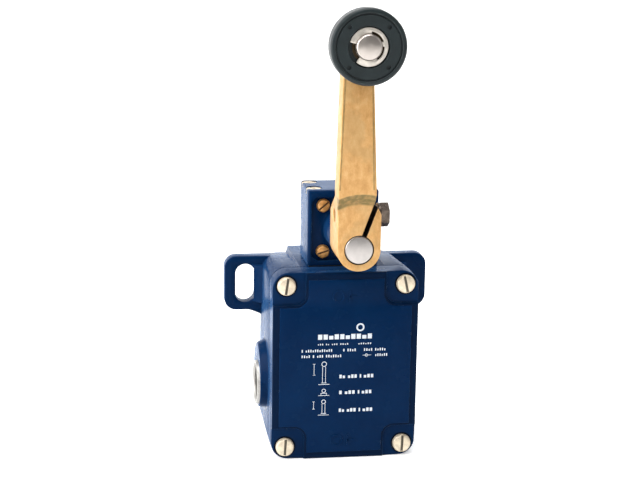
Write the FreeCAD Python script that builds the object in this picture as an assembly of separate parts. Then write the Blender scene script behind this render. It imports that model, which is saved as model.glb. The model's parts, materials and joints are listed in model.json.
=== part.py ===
"""Heavy-duty roller lever limit switch, millimetres.
X runs across the switch, +Y points back into the surface it is screwed to, Z runs up the lever.
Origin: the mounting face (Y = 0), mid-width, level with the middle of the cover."""
import FreeCAD, Part
import math
import os

os.makedirs("parts", exist_ok=True)

# clearances that every fit uses
play = 0.3               # between parts that move past each other
fit = 0.05               # running fit, radial
thread_room = 0.15       # radial room around a screw's shank in its threaded hole
hole_room = 0.3          # radial room around a screw's shank in a clearance hole

# enclosure: a tub that is open to the front
body_w = 71.2            # across the cover and the enclosure's open edge
body_h = 93.8            # cover height
seam_depth = 46.0        # mounting face to the enclosure's open edge
body_draft = 0.8         # how much smaller the enclosure is at the back, sides and bottom
top_draft = 3.3          # how much lower its top is at the back
corner_r = 8.0           # enclosure and cover corners
wall = 4.0
floor_t = 5.0            # enclosure back wall
inner_corner_r = 4.0

# cover
gasket_t = 0.8
gasket_inset = 0.8
cover_t = 13.2
cover_skin = 3.2         # front wall
cover_edge_r = 1.6
panel_edge = 3.4         # border around the raised panel
panel_raise = 0.55
cover_screw_x = 29.0     # half the screw spacing
cover_screw_z = 40.5
cover_screw_r = 2.4
cover_screw_head_r = 4.5
cover_screw_head_h = 2.6
cover_screw_grip = 12.0  # how deep the screws go into the enclosure
screw_boss_r = 6.4       # corner bosses that take the cover screws
step_half = 9.3          # lowered corners of the cover reach this far in from their screws
step_inner_r = 5.0       # and are rounded inwards
step_drop = 2.0          # depth of the screw seats below the front

# ears: the left one has a slot for levelling, the right one a round hole
ear_left = 53.8          # outer edges from the middle
ear_right = 50.2
ear_t = 7.0
ear_bottom = 15.2
ear_top = 43.2
ear_corner_r = 6.0
slot_x = 43.3            # slot centre from the middle
slot_z = 29.2
slot_w = 10.0
slot_len = 20.0
hole_x = 42.3
hole_z = 24.2            # level with the slot's lower end
ear_hole_r = 4.5
web_out = 4.5            # how far the blends between ears and walls reach
web_up = 7.0

# cable entry in the left wall
entry_y = -30.0
entry_z = -16.0
entry_boss_r = 12.2      # raised face around the insert
entry_boss_flare = 0.7
hood_r = 14.4            # thicker part of the boss above and behind it
hood_flare = 3.1
hood_y = -27.0
hood_z = -11.3
entry_boss_out = 3.6     # boss face beyond the side wall
insert_r = 11.0
insert_bore_r = 9.2
insert_proud = 1.4

# actuator head
pad_w = 42.0             # flat on the enclosure's top under the head
head_gasket_t = 0.6
head_w = 34.6
head_h = 37.0
head_gap = 0.4           # head front behind the seam, so that the cover comes off
head_d = 27.4
head_corner_r = 1.4
head_screw_r = 1.7
head_screw_head_r = 3.6
head_screw_head_h = 2.6
head_screw_sink = 3.0    # seat below the head's top
head_screw_grip = 8.0
head_screw_side_in = 3.7     # screw axis from the head's side
head_screw_front_in = 7.6    # and from its front
head_screw_back_in = 4.6     # and from its back
shaft_z = 65.3
window_side = 1.8        # frame around the window in the head's front
window_half_h = 15.8
window_r = 4.0
recess_d = 2.8           # bearing plate behind the head's front
plate_t = 2.4
plate_room = 0.05
plate_screw_x = 9.6
plate_screw_z = 11.4
plate_screw_r = 1.6
plate_screw_head_r = 3.35
plate_screw_head_h = 2.2
plate_screw_grip = 5.6
nose_r = 9.6             # bearing nose of the plate
nose_out = 20.0
spigot_out = 1.5         # plate's spigot into the head's bore

# shaft and what drives the contacts
shaft_r = 6.5            # where the lever is clamped
bearing_r = 5.9          # where it runs in the bush
bush_t = 1.4
seal_wall = 2.5
seal_t = 2.6
crank_pin_off = 3.4      # crank pin from the shaft's axis
crank_pin_r = 1.4
crank_rim = 1.2          # disc beyond the pin
crank_t = 3.0
crank_spigot_r = 1.9
rod_y = -31.5            # plunger axis
rod_r = 2.6
rod_tail_r = 2.0         # below the lower collar, inside the spring
fork_t = 2.8
fork_jaw = 2.2
fork_slack = 0.45        # half the room of the crank pin in the fork's slot
guide_wall = 3.4
guide_flange = 1.6       # flange beyond the guide's barrel, and its thickness
swing_deg = 50.0         # lever travel to each side
drive_ratio = 0.92       # plunger travel per radian, over the crank pin's offset
spring_r = 3.0           # mean radius of both springs
spring_wire_r = 0.45
spring_turns = 5.5
spring_seat_r = 3.7
spring_seat_t = 1.2
upper_spring_top = 81.2
collar_z = -19.0         # underside of the rod's lower collar

# lever
lever_len = 94.5         # shaft axis to roller axis
hub_r = 10.1
hub_t = 22.5
hub_front = -91.0
arm_t = 10.6
arm_proud = 5.2          # arm front beyond the hub's front
arm_foot_left = 11.0     # arm edges level with the hub
arm_foot_right = 6.7
arm_tip_left = 9.6       # and at the roller
arm_tip_right = 3.9
eye_r = 9.8
spot_r = 22.0            # milled clearance around the shaft, front of the arm
spot_slope = 5.2
web_drop = 6.0           # the back slopes from the arm down to the hub by this much more
hub_slack = 0.02         # the clamped hub on the shaft
saw_w = 2.1
saw_angle = 20.0
saw_reach = 25.0
clamp_z = 14.2           # clamp bolt above the shaft
clamp_r = 2.9
clamp_flats = 10.0
clamp_head_h = 4.0
clamp_washer_r = 5.6
clamp_washer_t = 1.2

# roller
roller_r = 17.15
roller_w = 9.0
roller_edge_r = 1.2
roller_gap = 0.5         # arm front to roller back
roller_face_ring = 2.2   # rim around the roller's slightly lower face
face_recess = 3.2        # depth of the recess around the axle
recess_wide = 3.2        # recess beyond the axle
dimple_ring_r = 13.1
dimple_r = 1.1
axle_r = 5.9
axle_step = 1.5          # the axle's tail is this much thinner where it is riveted
axle_proud = 0.6
roller_bush_t = 1.4
clip_t = 0.9
clip_in = 1.4            # clip behind the roller's front
clip_ring_in = 0.7       # clip ring, from and to, beyond the axle
clip_ring_out = 2.8
groove_depth = 1.0

# contact block
block_w = 44.0
block_front = -38.0
block_bottom = -31.0
block_top = 26.0
block_wall = 3.0
bay_half = 13.0          # half-width of the bay for the moving contacts
cell_wall = 1.6
block_screw_r = 1.45
block_screw_head_r = 2.8
block_screw_in = 3.8     # screw axes from the block's edges
block_screw_sink = 20.0
terminal_pitch = 9.4
terminal_low = -15.0     # lowest row of terminals
cell_depth = 8.6
strip_t = 1.0
strip_h = 4.0
strip_in = 6.5           # inner end of the contact strips from the middle
foot_t = 1.2
foot_half = 3.4
terminal_x = 18.3
terminal_screw_r = 1.0
terminal_head_r = 2.7
terminal_washer_half = 3.0
terminal_washer_t = 1.0
tip_r = 1.2
tip_t = 0.5
tip_x = 8.8
bridge_l = 22.0
bridge_d = 5.0
bridge_t = 1.2
earth_x = 14.0
earth_z = -37.0
earth_boss_r = 4.6
earth_boss_h = 6.0
earth_screw_r = 1.7
earth_head_r = 3.4
earth_washer_half = 4.0
earth_washer_t = 1.2

# places that follow from the values above
half_w = body_w / 2
half_h = body_h / 2
seam_y = -seam_depth
cover_back = seam_y - gasket_t
cover_front = cover_back - cover_t
body_top = half_h - top_draft            # enclosure top at the back
inner_w = half_w - wall - body_draft
inner_low = -half_h + body_draft + wall
inner_high = body_top - wall
pad_top = half_h
head_bottom = pad_top + head_gasket_t
head_top = head_bottom + head_h
head_front = seam_y - head_gap
head_back = head_front + head_d
plate_front = head_front + recess_d
plate_back = plate_front + plate_t
window_half_w = head_w / 2 - window_side
nose_front = plate_front - nose_out
bush_r = bearing_r + bush_t
bush_back = plate_back + spigot_out
seal_r = bearing_r + seal_wall
crank_back = rod_y - spring_seat_r - play
crank_front = crank_back - crank_t
crank_r = crank_pin_off + crank_pin_r + crank_rim
crank_room_r = crank_r + 1.4
stroke = crank_pin_off * drive_ratio * math.radians(swing_deg)
fork_half = crank_pin_r + fork_slack + fork_jaw
fork_top = shaft_z + fork_half
guide_r = rod_r + guide_wall
hub_back = hub_front + hub_t
hub_mid = (hub_front + hub_back) / 2
clamp_axis = shaft_z + clamp_z
arm_front = hub_front - arm_proud
arm_back = arm_front + arm_t
roller_z = shaft_z + lever_len
roller_back = arm_front - roller_gap
roller_front = roller_back - roller_w
clip_y = roller_front + clip_in
entry_face = -half_w - entry_boss_out
strip_back = block_front + cell_depth
terminal_zs = [terminal_low + i * terminal_pitch for i in range(4)]
bridge_zs = [(terminal_zs[0] + terminal_zs[1]) / 2, (terminal_zs[2] + terminal_zs[3]) / 2]
floor_y = -floor_t
blind = 1.2              # metal left under a blind hole

corner_signs = [(-1, -1), (1, -1), (1, 1), (-1, 1)]
cover_screws_at = [(i * cover_screw_x, j * cover_screw_z) for i, j in corner_signs]
plate_screws_at = [(i * plate_screw_x, shaft_z + j * plate_screw_z) for i, j in corner_signs]
head_screw_ys = [head_front + head_screw_front_in, head_back - head_screw_back_in]
head_screws_at = [(i * (head_w / 2 - head_screw_side_in), y) for i in (-1, 1) for y in head_screw_ys]
block_screws_at = [(i * (block_w / 2 - block_screw_in), z) for i in (-1, 1)
                   for z in (block_bottom + block_screw_in, block_top - block_screw_in)]


def box(x0, x1, y0, y1, z0, z1):
    low = FreeCAD.Vector(min(x0, x1), min(y0, y1), min(z0, z1))
    return Part.makeBox(abs(x1 - x0), abs(y1 - y0), abs(z1 - z0), low)


def cyl_y(radius, x, z, y0, y1):
    """A round bar along Y from y0 to y1."""
    return Part.makeCylinder(radius, y1 - y0, FreeCAD.Vector(x, y0, z), FreeCAD.Vector(0, 1, 0))


def cyl_x(radius, y, z, x0, x1):
    return Part.makeCylinder(radius, x1 - x0, FreeCAD.Vector(x0, y, z), FreeCAD.Vector(1, 0, 0))


def cyl_z(radius, x, y, z0, z1):
    return Part.makeCylinder(radius, z1 - z0, FreeCAD.Vector(x, y, z0))


def plate_xz(outline, y0, y1):
    """A plate with an outline of (x, z) points, from y0 to y1."""
    points = [FreeCAD.Vector(x, y0, z) for x, z in outline]
    return Part.Face(Part.makePolygon(points + [points[0]])).extrude(FreeCAD.Vector(0, y1 - y0, 0))


def prism_x(outline, x0, x1):
    """A bar along X with a section of (y, z) points."""
    points = [FreeCAD.Vector(x0, y, z) for y, z in outline]
    return Part.Face(Part.makePolygon(points + [points[0]])).extrude(FreeCAD.Vector(x1 - x0, 0, 0))


def hex_bar_x(across_flats, x0, x1, y, z):
    """A hexagonal bar along X with two flats level."""
    r = across_flats / math.sqrt(3)
    corners = [(y + r * math.cos(math.radians(60 * i)), z + r * math.sin(math.radians(60 * i)))
               for i in range(6)]
    return prism_x(corners, x0, x1)


def rounded_wire(x0, x1, z0, z1, r, y):
    """A rounded rectangle in the plane Y = y."""
    c = r * (1 - math.sqrt(0.5))

    def at(x, z):
        return FreeCAD.Vector(x, y, z)

    edges = [
        Part.LineSegment(at(x0 + r, z0), at(x1 - r, z0)).toShape(),
        Part.Arc(at(x1 - r, z0), at(x1 - c, z0 + c), at(x1, z0 + r)).toShape(),
        Part.LineSegment(at(x1, z0 + r), at(x1, z1 - r)).toShape(),
        Part.Arc(at(x1, z1 - r), at(x1 - c, z1 - c), at(x1 - r, z1)).toShape(),
        Part.LineSegment(at(x1 - r, z1), at(x0 + r, z1)).toShape(),
        Part.Arc(at(x0 + r, z1), at(x0 + c, z1 - c), at(x0, z1 - r)).toShape(),
        Part.LineSegment(at(x0, z1 - r), at(x0, z0 + r)).toShape(),
        Part.Arc(at(x0, z0 + r), at(x0 + c, z0 + c), at(x0 + r, z0)).toShape(),
    ]
    return Part.Wire(edges)


def rounded_box(x0, x1, y0, y1, z0, z1, r):
    """A block with its four corners along Y rounded."""
    return Part.Face(rounded_wire(x0, x1, z0, z1, r, y0)).extrude(FreeCAD.Vector(0, y1 - y0, 0))


def fuse_all(shapes):
    result = shapes[0]
    for shape in shapes[1:]:
        result = result.fuse(shape)
    return result.removeSplitter()


def cut_all(shape, tools):
    for tool in tools:
        shape = shape.cut(tool)
    return shape


def fillet_where(shape, radius, test):
    """Round the edges whose bounding box passes the test."""
    return shape.makeFillet(radius, [edge for edge in shape.Edges if test(edge.BoundBox)])


def chamfer_where(shape, size, test):
    return shape.makeChamfer(size, [edge for edge in shape.Edges if test(edge.BoundBox)])


def flat_at_y(y):
    """An edge test: the edge lies in the plane Y = y."""
    return lambda b: abs(b.YMin - y) < 0.02 and abs(b.YMax - y) < 0.02


def slotted_screw(x, z, seat_y, head_r, head_h, shank_r, length, slot_angle):
    """A screw along Y: its head stands in front of seat_y, and its shank runs back from it."""
    head = cyl_y(head_r, x, z, seat_y - head_h, seat_y)
    head = chamfer_where(head, head_h * 0.22, flat_at_y(seat_y - head_h))
    groove = box(x - head_r * 0.13, x + head_r * 0.13, seat_y - head_h - 1, seat_y - head_h * 0.45,
                 z - head_r * 1.1, z + head_r * 1.1)
    groove.rotate(FreeCAD.Vector(x, 0, z), FreeCAD.Vector(0, 1, 0), slot_angle)
    shank = cyl_y(shank_r, x, z, seat_y, seat_y + length)
    return fuse_all([head, shank]).cut(groove)


def coil_spring(z0, z1):
    """A compression spring around the plunger's axis, its wire's outside between z0 and z1."""
    low = z0 + spring_wire_r
    high = z1 - spring_wire_r
    helix = Part.makeHelix((high - low) / spring_turns, high - low, spring_r)
    circle = Part.Circle(FreeCAD.Vector(spring_r, 0, 0), FreeCAD.Vector(0, 1, 0), spring_wire_r)
    spring = Part.Wire(helix.Edges).makePipeShell([Part.Wire(circle.toShape())], True, True)
    spring.translate(FreeCAD.Vector(0, rod_y, low))
    return spring


def save(name, shapes):
    if not isinstance(shapes, list):
        shapes = [shapes]
    solids = [solid for shape in shapes for solid in shape.Solids]
    result = solids[0] if len(solids) == 1 else Part.makeCompound(solids)
    result.exportStep("parts/" + name + ".step")


def build_housing():
    front = rounded_wire(-half_w, half_w, -half_h, half_h, corner_r, seam_y)
    back = rounded_wire(-half_w + body_draft, half_w - body_draft, -half_h + body_draft, body_top,
                        corner_r, 0)
    shell = Part.makeLoft([front, back], True, True)
    ears = rounded_box(-ear_left, ear_right, -ear_t, 0, ear_bottom, ear_top, ear_corner_r)
    pad = box(-pad_w / 2, pad_w / 2, seam_y, 0, inner_high, pad_top)
    boss_start = -half_w + body_draft + 1.0
    boss_h = entry_boss_out + body_draft + 1.0
    around = Part.makeCone(entry_boss_r + entry_boss_flare, entry_boss_r, boss_h,
                           FreeCAD.Vector(boss_start, entry_y, entry_z), FreeCAD.Vector(-1, 0, 0))
    hood = Part.makeCone(hood_r + hood_flare, hood_r, boss_h,
                         FreeCAD.Vector(boss_start, hood_y, hood_z), FreeCAD.Vector(-1, 0, 0))
    boss = around.fuse(hood).cut(box(-body_w, 0, seam_y * 2, seam_y + 0.5, -half_h, half_h))
    webs = []
    root = half_w - body_draft - 1.5
    for side in (-1, 1):
        behind = [(-ear_t, root), (-ear_t, half_w + web_out), (-ear_t - web_up, root)]
        points = [FreeCAD.Vector(side * x, y, ear_bottom + web_out) for y, x in behind]
        web = Part.Face(Part.makePolygon(points + [points[0]]))
        webs.append(web.extrude(FreeCAD.Vector(0, 0, ear_top - ear_bottom - 2 * web_out)))
        below = [(side * root, ear_bottom + 1), (side * (half_w + 2 * web_out), ear_bottom + 1),
                 (side * root, ear_bottom - web_up)]
        webs.append(plate_xz(below, -ear_t, 0))
    body = fuse_all([shell, ears, pad, boss] + webs)
    cavity = rounded_box(-inner_w, inner_w, seam_y - 1, floor_y, inner_low, inner_high, inner_corner_r)
    kept = [cyl_y(screw_boss_r, x, z, seam_y - 2, 0) for x, z in cover_screws_at]
    kept += [cyl_z(head_screw_r + 2.5, x, y, pad_top - head_screw_grip - 2, pad_top)
             for x, y in head_screws_at]
    kept.append(cyl_y(earth_boss_r, earth_x, earth_z, floor_y - earth_boss_h, 0))
    body = body.cut(cut_all(cavity, kept))
    slots = []
    slot_r = slot_w / 2
    straight = slot_len / 2 - slot_r
    slots.append(box(-slot_x - slot_r, -slot_x + slot_r, -ear_t - 1, 1, slot_z - straight,
                     slot_z + straight))
    slots.append(cyl_y(slot_r, -slot_x, slot_z - straight, -ear_t - 1, 1))
    slots.append(cyl_y(slot_r, -slot_x, slot_z + straight, -ear_t - 1, 1))
    slots.append(cyl_y(ear_hole_r, hole_x, hole_z, -ear_t - 1, 1))
    entry = cyl_x(insert_r, entry_y, entry_z, entry_face - 1, -inner_w + 1)
    holes = [cyl_y(cover_screw_r + thread_room, x, z, seam_y - 1, seam_y + cover_screw_grip + 1)
             for x, z in cover_screws_at]
    holes += [cyl_z(head_screw_r + thread_room, x, y, pad_top - head_screw_grip - 0.5, pad_top + 1)
              for x, y in head_screws_at]
    holes += [cyl_y(block_screw_r + thread_room, x, z, floor_y - 1, -blind) for x, z in block_screws_at]
    holes.append(cyl_y(earth_screw_r + thread_room, earth_x, earth_z, floor_y - earth_boss_h - 1, -blind))
    holes.append(cyl_z(guide_r, 0, rod_y, inner_high - 1, pad_top + 1))
    return cut_all(body, slots + [entry] + holes)


def cover_corners(grow, y_front, y_back):
    """Blocks over the cover's corners, reaching in past each screw."""
    blocks = []
    reach = step_half + grow
    for x, z in cover_screws_at:
        side = 1 if x > 0 else -1
        level = 1 if z > 0 else -1
        x_ends = sorted((x - side * reach, side * (half_w + corner_r)))
        z_ends = sorted((z - level * reach, level * (half_h + corner_r)))
        blocks.append(rounded_box(x_ends[0], x_ends[1], y_front, y_back, z_ends[0], z_ends[1],
                                  step_inner_r))
    return blocks


def build_cover():
    cover = rounded_box(-half_w, half_w, cover_front, cover_back, -half_h, half_h, corner_r)
    cover = fillet_where(cover, cover_edge_r, flat_at_y(cover_front))
    seats = cover_corners(0, cover_front - 1, cover_front + step_drop)
    rim = rounded_box(-half_w - 1, half_w + 1, cover_front - 1, cover_front + panel_raise,
                      -half_h - 1, half_h + 1, corner_r)
    panel = rounded_box(-half_w + panel_edge, half_w - panel_edge, cover_front - 2, cover_front + 2,
                        -half_h + panel_edge, half_h - panel_edge, corner_r - panel_edge)
    hollow = rounded_box(-inner_w, inner_w, cover_front + cover_skin, cover_back + 1,
                         inner_low, inner_high, inner_corner_r)
    posts = [cyl_y(screw_boss_r, x, z, cover_front, cover_back + 2) for x, z in cover_screws_at]
    holes = [cyl_y(cover_screw_r + hole_room, x, z, cover_front - 1, cover_back + 1)
             for x, z in cover_screws_at]
    under = cover_corners(cover_skin, cover_front + cover_skin - 1,
                          cover_front + step_drop + cover_skin)
    return cut_all(cover, seats + [rim.cut(panel), cut_all(hollow, posts + under)] + holes)


def build_cover_gasket():
    sheet = rounded_box(-half_w + gasket_inset, half_w - gasket_inset, cover_back, seam_y,
                        -half_h + gasket_inset, half_h - gasket_inset, corner_r - gasket_inset)
    opening = rounded_box(-inner_w, inner_w, cover_back - 1, seam_y + 1, inner_low, inner_high,
                          inner_corner_r)
    lands = [cyl_y(screw_boss_r, x, z, cover_back - 2, seam_y + 2) for x, z in cover_screws_at]
    holes = [cyl_y(cover_screw_r + hole_room, x, z, cover_back - 1, seam_y + 1)
             for x, z in cover_screws_at]
    return cut_all(sheet, [cut_all(opening, lands)] + holes)


def build_cover_screws():
    length = cover_t - step_drop + gasket_t + cover_screw_grip
    return [slotted_screw(x, z, cover_front + step_drop, cover_screw_head_r, cover_screw_head_h,
                          cover_screw_r, length, angle)
            for (x, z), angle in zip(cover_screws_at, (4, -8, 10, -3))]


def build_insert():
    start = entry_face - insert_proud
    sleeve = cyl_x(insert_r, entry_y, entry_z, start, -inner_w)
    sleeve = sleeve.cut(cyl_x(insert_bore_r, entry_y, entry_z, start - 1, -inner_w + 1))
    return chamfer_where(sleeve, 0.6, lambda b: abs(b.XMin - start) < 0.02 and abs(b.XMax - start) < 0.02)


def build_block():
    block = box(-block_w / 2, block_w / 2, block_front, floor_y, block_bottom, block_top)
    bay = box(-bay_half, bay_half, block_front - 1, floor_y - block_wall,
              block_bottom + block_wall, block_top - block_wall)
    bore = cyl_z(rod_r + play, 0, rod_y, block_bottom + block_wall, block_top + 1)
    cuts = [bay, bore]
    for side in (-1, 1):
        for z in terminal_zs:
            cuts.append(box(side * (bay_half + cell_wall), side * (block_w / 2 + 1), block_front - 1,
                            strip_back, z - foot_half - 1, z + foot_half + 1))
            cuts.append(box(side * (bay_half - 1), side * (bay_half + cell_wall + 1), block_front - 1,
                            strip_back, z - strip_t / 2, z + strip_t / 2))
            cuts.append(cyl_y(terminal_screw_r + thread_room, side * terminal_x, z, strip_back - 1,
                              strip_back + 4))
    for x, z in block_screws_at:
        cuts.append(cyl_y(block_screw_r + hole_room, x, z, block_front - 1, 0))
        cuts.append(cyl_y(block_screw_head_r + play, x, z, block_front - 1, block_front + block_screw_sink))
    return cut_all(block, cuts)


def build_block_screws():
    seat = block_front + block_screw_sink
    return [slotted_screw(x, z, seat, block_screw_head_r, 2.0, block_screw_r, -blind - 0.6 - seat, 35)
            for x, z in block_screws_at]


def build_fixed_contacts():
    """Strips from the terminals to a tip over or under a bridge, each with a foot for its screw."""
    contacts = []
    for side in (-1, 1):
        for z in terminal_zs:
            blade = box(side * strip_in, side * (bay_half + cell_wall + 0.5), strip_back - strip_h,
                        strip_back, z - strip_t / 2, z + strip_t / 2)
            foot = box(side * (bay_half + cell_wall), side * (block_w / 2 - 0.4), strip_back - foot_t,
                       strip_back, z - foot_half, z + foot_half)
            hole = cyl_y(terminal_screw_r + thread_room, side * terminal_x, z, strip_back - 5,
                         strip_back + 1)
            contacts.append(fuse_all([blade, foot]).cut(hole))
    return contacts


def build_contact_tips():
    """Silver tips on the strips, on the side that faces a bridge."""
    tips = []
    y = strip_back - strip_h / 2
    for side in (-1, 1):
        for i, z in enumerate(terminal_zs):
            up = 1 if i % 2 == 0 else -1
            face = z + up * strip_t / 2
            tips.append(cyl_z(tip_r, side * tip_x, y, min(face, face + up * tip_t),
                              max(face, face + up * tip_t)))
    return tips


def build_terminal_washers():
    y = strip_back - foot_t
    washers = []
    for side in (-1, 1):
        for z in terminal_zs:
            x = side * terminal_x
            plate = box(x - terminal_washer_half, x + terminal_washer_half, y - terminal_washer_t, y,
                        z - terminal_washer_half, z + terminal_washer_half)
            washers.append(plate.cut(cyl_y(terminal_screw_r + thread_room, x, z, y - 3, y + 1)))
    return washers


def build_terminal_screws():
    seat = strip_back - foot_t - terminal_washer_t
    length = terminal_washer_t + foot_t + 3.0
    return [slotted_screw(side * terminal_x, z, seat, terminal_head_r, 2.0, terminal_screw_r, length, 9 * z)
            for side in (-1, 1) for z in terminal_zs]


def build_earth_washer():
    seat = floor_y - earth_boss_h
    plate = box(earth_x - earth_washer_half, earth_x + earth_washer_half, seat - earth_washer_t, seat,
                earth_z - earth_washer_half, earth_z + earth_washer_half)
    return plate.cut(cyl_y(earth_screw_r + hole_room, earth_x, earth_z, seat - 3, seat + 1))


def build_earth_screw():
    seat = floor_y - earth_boss_h - earth_washer_t
    return slotted_screw(earth_x, earth_z, seat, earth_head_r, 2.4, earth_screw_r, -blind - 0.6 - seat, 50)


def build_head():
    head = box(-head_w / 2, head_w / 2, head_front, head_back, head_bottom, head_top)
    head = fillet_where(head, head_corner_r, lambda b: b.ZLength > head_h - 1)
    head = fillet_where(head, 0.8, lambda b: abs(b.ZMin - head_top) < 0.02)
    window = rounded_box(-window_half_w, window_half_w, head_front - 1, plate_back,
                         shaft_z - window_half_h, shaft_z + window_half_h, window_r)
    crank_room = cyl_y(crank_room_r, 0, shaft_z, plate_back - 1, crank_back + play)
    fork_room_h = fork_half + stroke + 2 * play
    fork_room_w = crank_r + 1.2
    fork_room = box(-fork_room_w, fork_room_w, crank_back - 1, rod_y + spring_seat_r + 2 * play,
                    shaft_z - fork_room_h, shaft_z + fork_room_h)
    pocket = cyl_z(spring_seat_r + 2 * play, 0, rod_y, shaft_z, upper_spring_top)
    way_down = cyl_z(guide_r, 0, rod_y, head_bottom - 1, shaft_z - fork_half)
    cuts = [window, crank_room, fork_room, pocket, way_down]
    cuts += [cyl_y(plate_screw_r + thread_room, x, z, plate_back - 1, plate_back + plate_screw_grip + 0.5)
             for x, z in plate_screws_at]
    for x, y in head_screws_at:
        cuts.append(cyl_z(head_screw_r + thread_room, x, y, head_bottom - 1, head_top + 1))
        cuts.append(cyl_z(head_screw_head_r + hole_room, x, y, head_top - head_screw_sink, head_top + 1))
    return cut_all(head, cuts)


def build_head_gasket():
    sheet = box(-head_w / 2 + 0.6, head_w / 2 - 0.6, seam_y, head_back - 0.6, pad_top, head_bottom)
    holes = [cyl_z(head_screw_r + hole_room, x, y, pad_top - 1, head_bottom + 1)
             for x, y in head_screws_at]
    return cut_all(sheet, [cyl_z(guide_r, 0, rod_y, pad_top - 1, head_bottom + 1)] + holes)


def build_head_screws():
    screws = []
    seat = head_top - head_screw_sink
    for (x, y), angle in zip(head_screws_at, (20, -50, 75, 10)):
        head = cyl_z(head_screw_head_r, x, y, seat, seat + head_screw_head_h)
        slot = box(x - 0.45, x + 0.45, y - 5, y + 5, seat + head_screw_head_h / 2, seat + 5)
        slot.rotate(FreeCAD.Vector(x, y, 0), FreeCAD.Vector(0, 0, 1), angle)
        shank = cyl_z(head_screw_r, x, y, pad_top - head_screw_grip, seat)
        screws.append(fuse_all([head, shank]).cut(slot))
    return screws


def build_bearing_plate():
    side = window_half_w - plate_room
    rise = window_half_h - plate_room
    plate = rounded_box(-side, side, plate_front, plate_back, shaft_z - rise, shaft_z + rise,
                        window_r - plate_room)
    nose = cyl_y(nose_r, 0, shaft_z, nose_front, plate_front + 0.5)
    nose = chamfer_where(nose, 1.0, flat_at_y(nose_front))
    spigot = cyl_y(crank_room_r - plate_room, 0, shaft_z, plate_back - 0.5, bush_back)
    plate = fuse_all([plate, nose, spigot])
    cuts = [cyl_y(bush_r, 0, shaft_z, nose_front + seal_t, bush_back + 1),
            cyl_y(seal_r, 0, shaft_z, nose_front - 1, nose_front + seal_t)]
    cuts += [cyl_y(plate_screw_r + hole_room, x, z, plate_front - 1, plate_back + 1)
             for x, z in plate_screws_at]
    return cut_all(plate, cuts)


def build_plate_screws():
    return [slotted_screw(x, z, plate_front, plate_screw_head_r, plate_screw_head_h, plate_screw_r,
                          plate_t + plate_screw_grip, angle)
            for (x, z), angle in zip(plate_screws_at, (85, 20, -30, 60))]


def build_front_bush():
    sleeve = cyl_y(bush_r, 0, shaft_z, nose_front + seal_t, bush_back)
    return sleeve.cut(cyl_y(bearing_r + fit, 0, shaft_z, nose_front, bush_back + 1))


def build_shaft_seal():
    ring = cyl_y(seal_r, 0, shaft_z, nose_front + 0.2, nose_front + seal_t)
    return ring.cut(cyl_y(bearing_r + fit, 0, shaft_z, nose_front - 1, nose_front + seal_t + 1))


def build_plunger_guide():
    barrel = cyl_z(guide_r, 0, rod_y, inner_high, head_bottom + 1.5)
    flange = cyl_z(guide_r + guide_flange, 0, rod_y, inner_high - guide_flange, inner_high)
    bore = cyl_z(rod_r + fit, 0, rod_y, inner_high - guide_flange - 1, head_bottom + 3)
    return fuse_all([barrel, flange]).cut(bore)


def build_shaft():
    front = cyl_y(shaft_r, 0, shaft_z, hub_front - 0.4, hub_back + 0.6)
    front = chamfer_where(front, 0.6, flat_at_y(hub_front - 0.4))
    middle = cyl_y(bearing_r, 0, shaft_z, hub_back, crank_front)
    tail = cyl_y(crank_spigot_r, 0, shaft_z, crank_front, crank_back)
    return fuse_all([front, middle, tail])


def build_crank():
    """Disc on the shaft's inner end, with the pin that drives the plunger's fork."""
    disc = cyl_y(crank_r, 0, shaft_z, crank_front, crank_back)
    pin = cyl_y(crank_pin_r, -crank_pin_off, shaft_z, crank_back - 1, rod_y + fork_t / 2 + play)
    spigot_hole = cyl_y(crank_spigot_r, 0, shaft_z, crank_front - 1, crank_back)
    return fuse_all([disc.cut(spigot_hole), pin])


def build_plunger():
    """Rod with a fork at its top, open to the left, and a collar for each spring."""
    rod = cyl_z(rod_r, 0, rod_y, collar_z, shaft_z - fork_half + 1)
    tail = cyl_z(rod_tail_r, 0, rod_y, collar_z - 3, collar_z)
    fork = box(-crank_pin_off - crank_pin_r - 1.0, rod_r, rod_y - fork_t / 2, rod_y + fork_t / 2,
               shaft_z - fork_half, fork_top)
    pin_reach = crank_pin_off * math.cos(math.radians(swing_deg)) - crank_pin_r - play
    slot = box(-crank_r - 5, -pin_reach, rod_y - fork_t, rod_y + fork_t,
               shaft_z - crank_pin_r - fork_slack, shaft_z + crank_pin_r + fork_slack)
    seat = cyl_z(spring_seat_r, 0, rod_y, fork_top, fork_top + spring_seat_t)
    collar = cyl_z(spring_seat_r, 0, rod_y, collar_z, collar_z + spring_seat_t)
    return fuse_all([rod, tail, fork, seat, collar]).cut(slot)


def build_bridges():
    rod = cyl_z(rod_r, 0, rod_y, block_bottom, block_top)
    return [box(-bridge_l / 2, bridge_l / 2, rod_y - bridge_d / 2 - 0.6, rod_y + bridge_d / 2 + 0.6,
                z - bridge_t / 2, z + bridge_t / 2).cut(rod) for z in bridge_zs]


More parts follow.
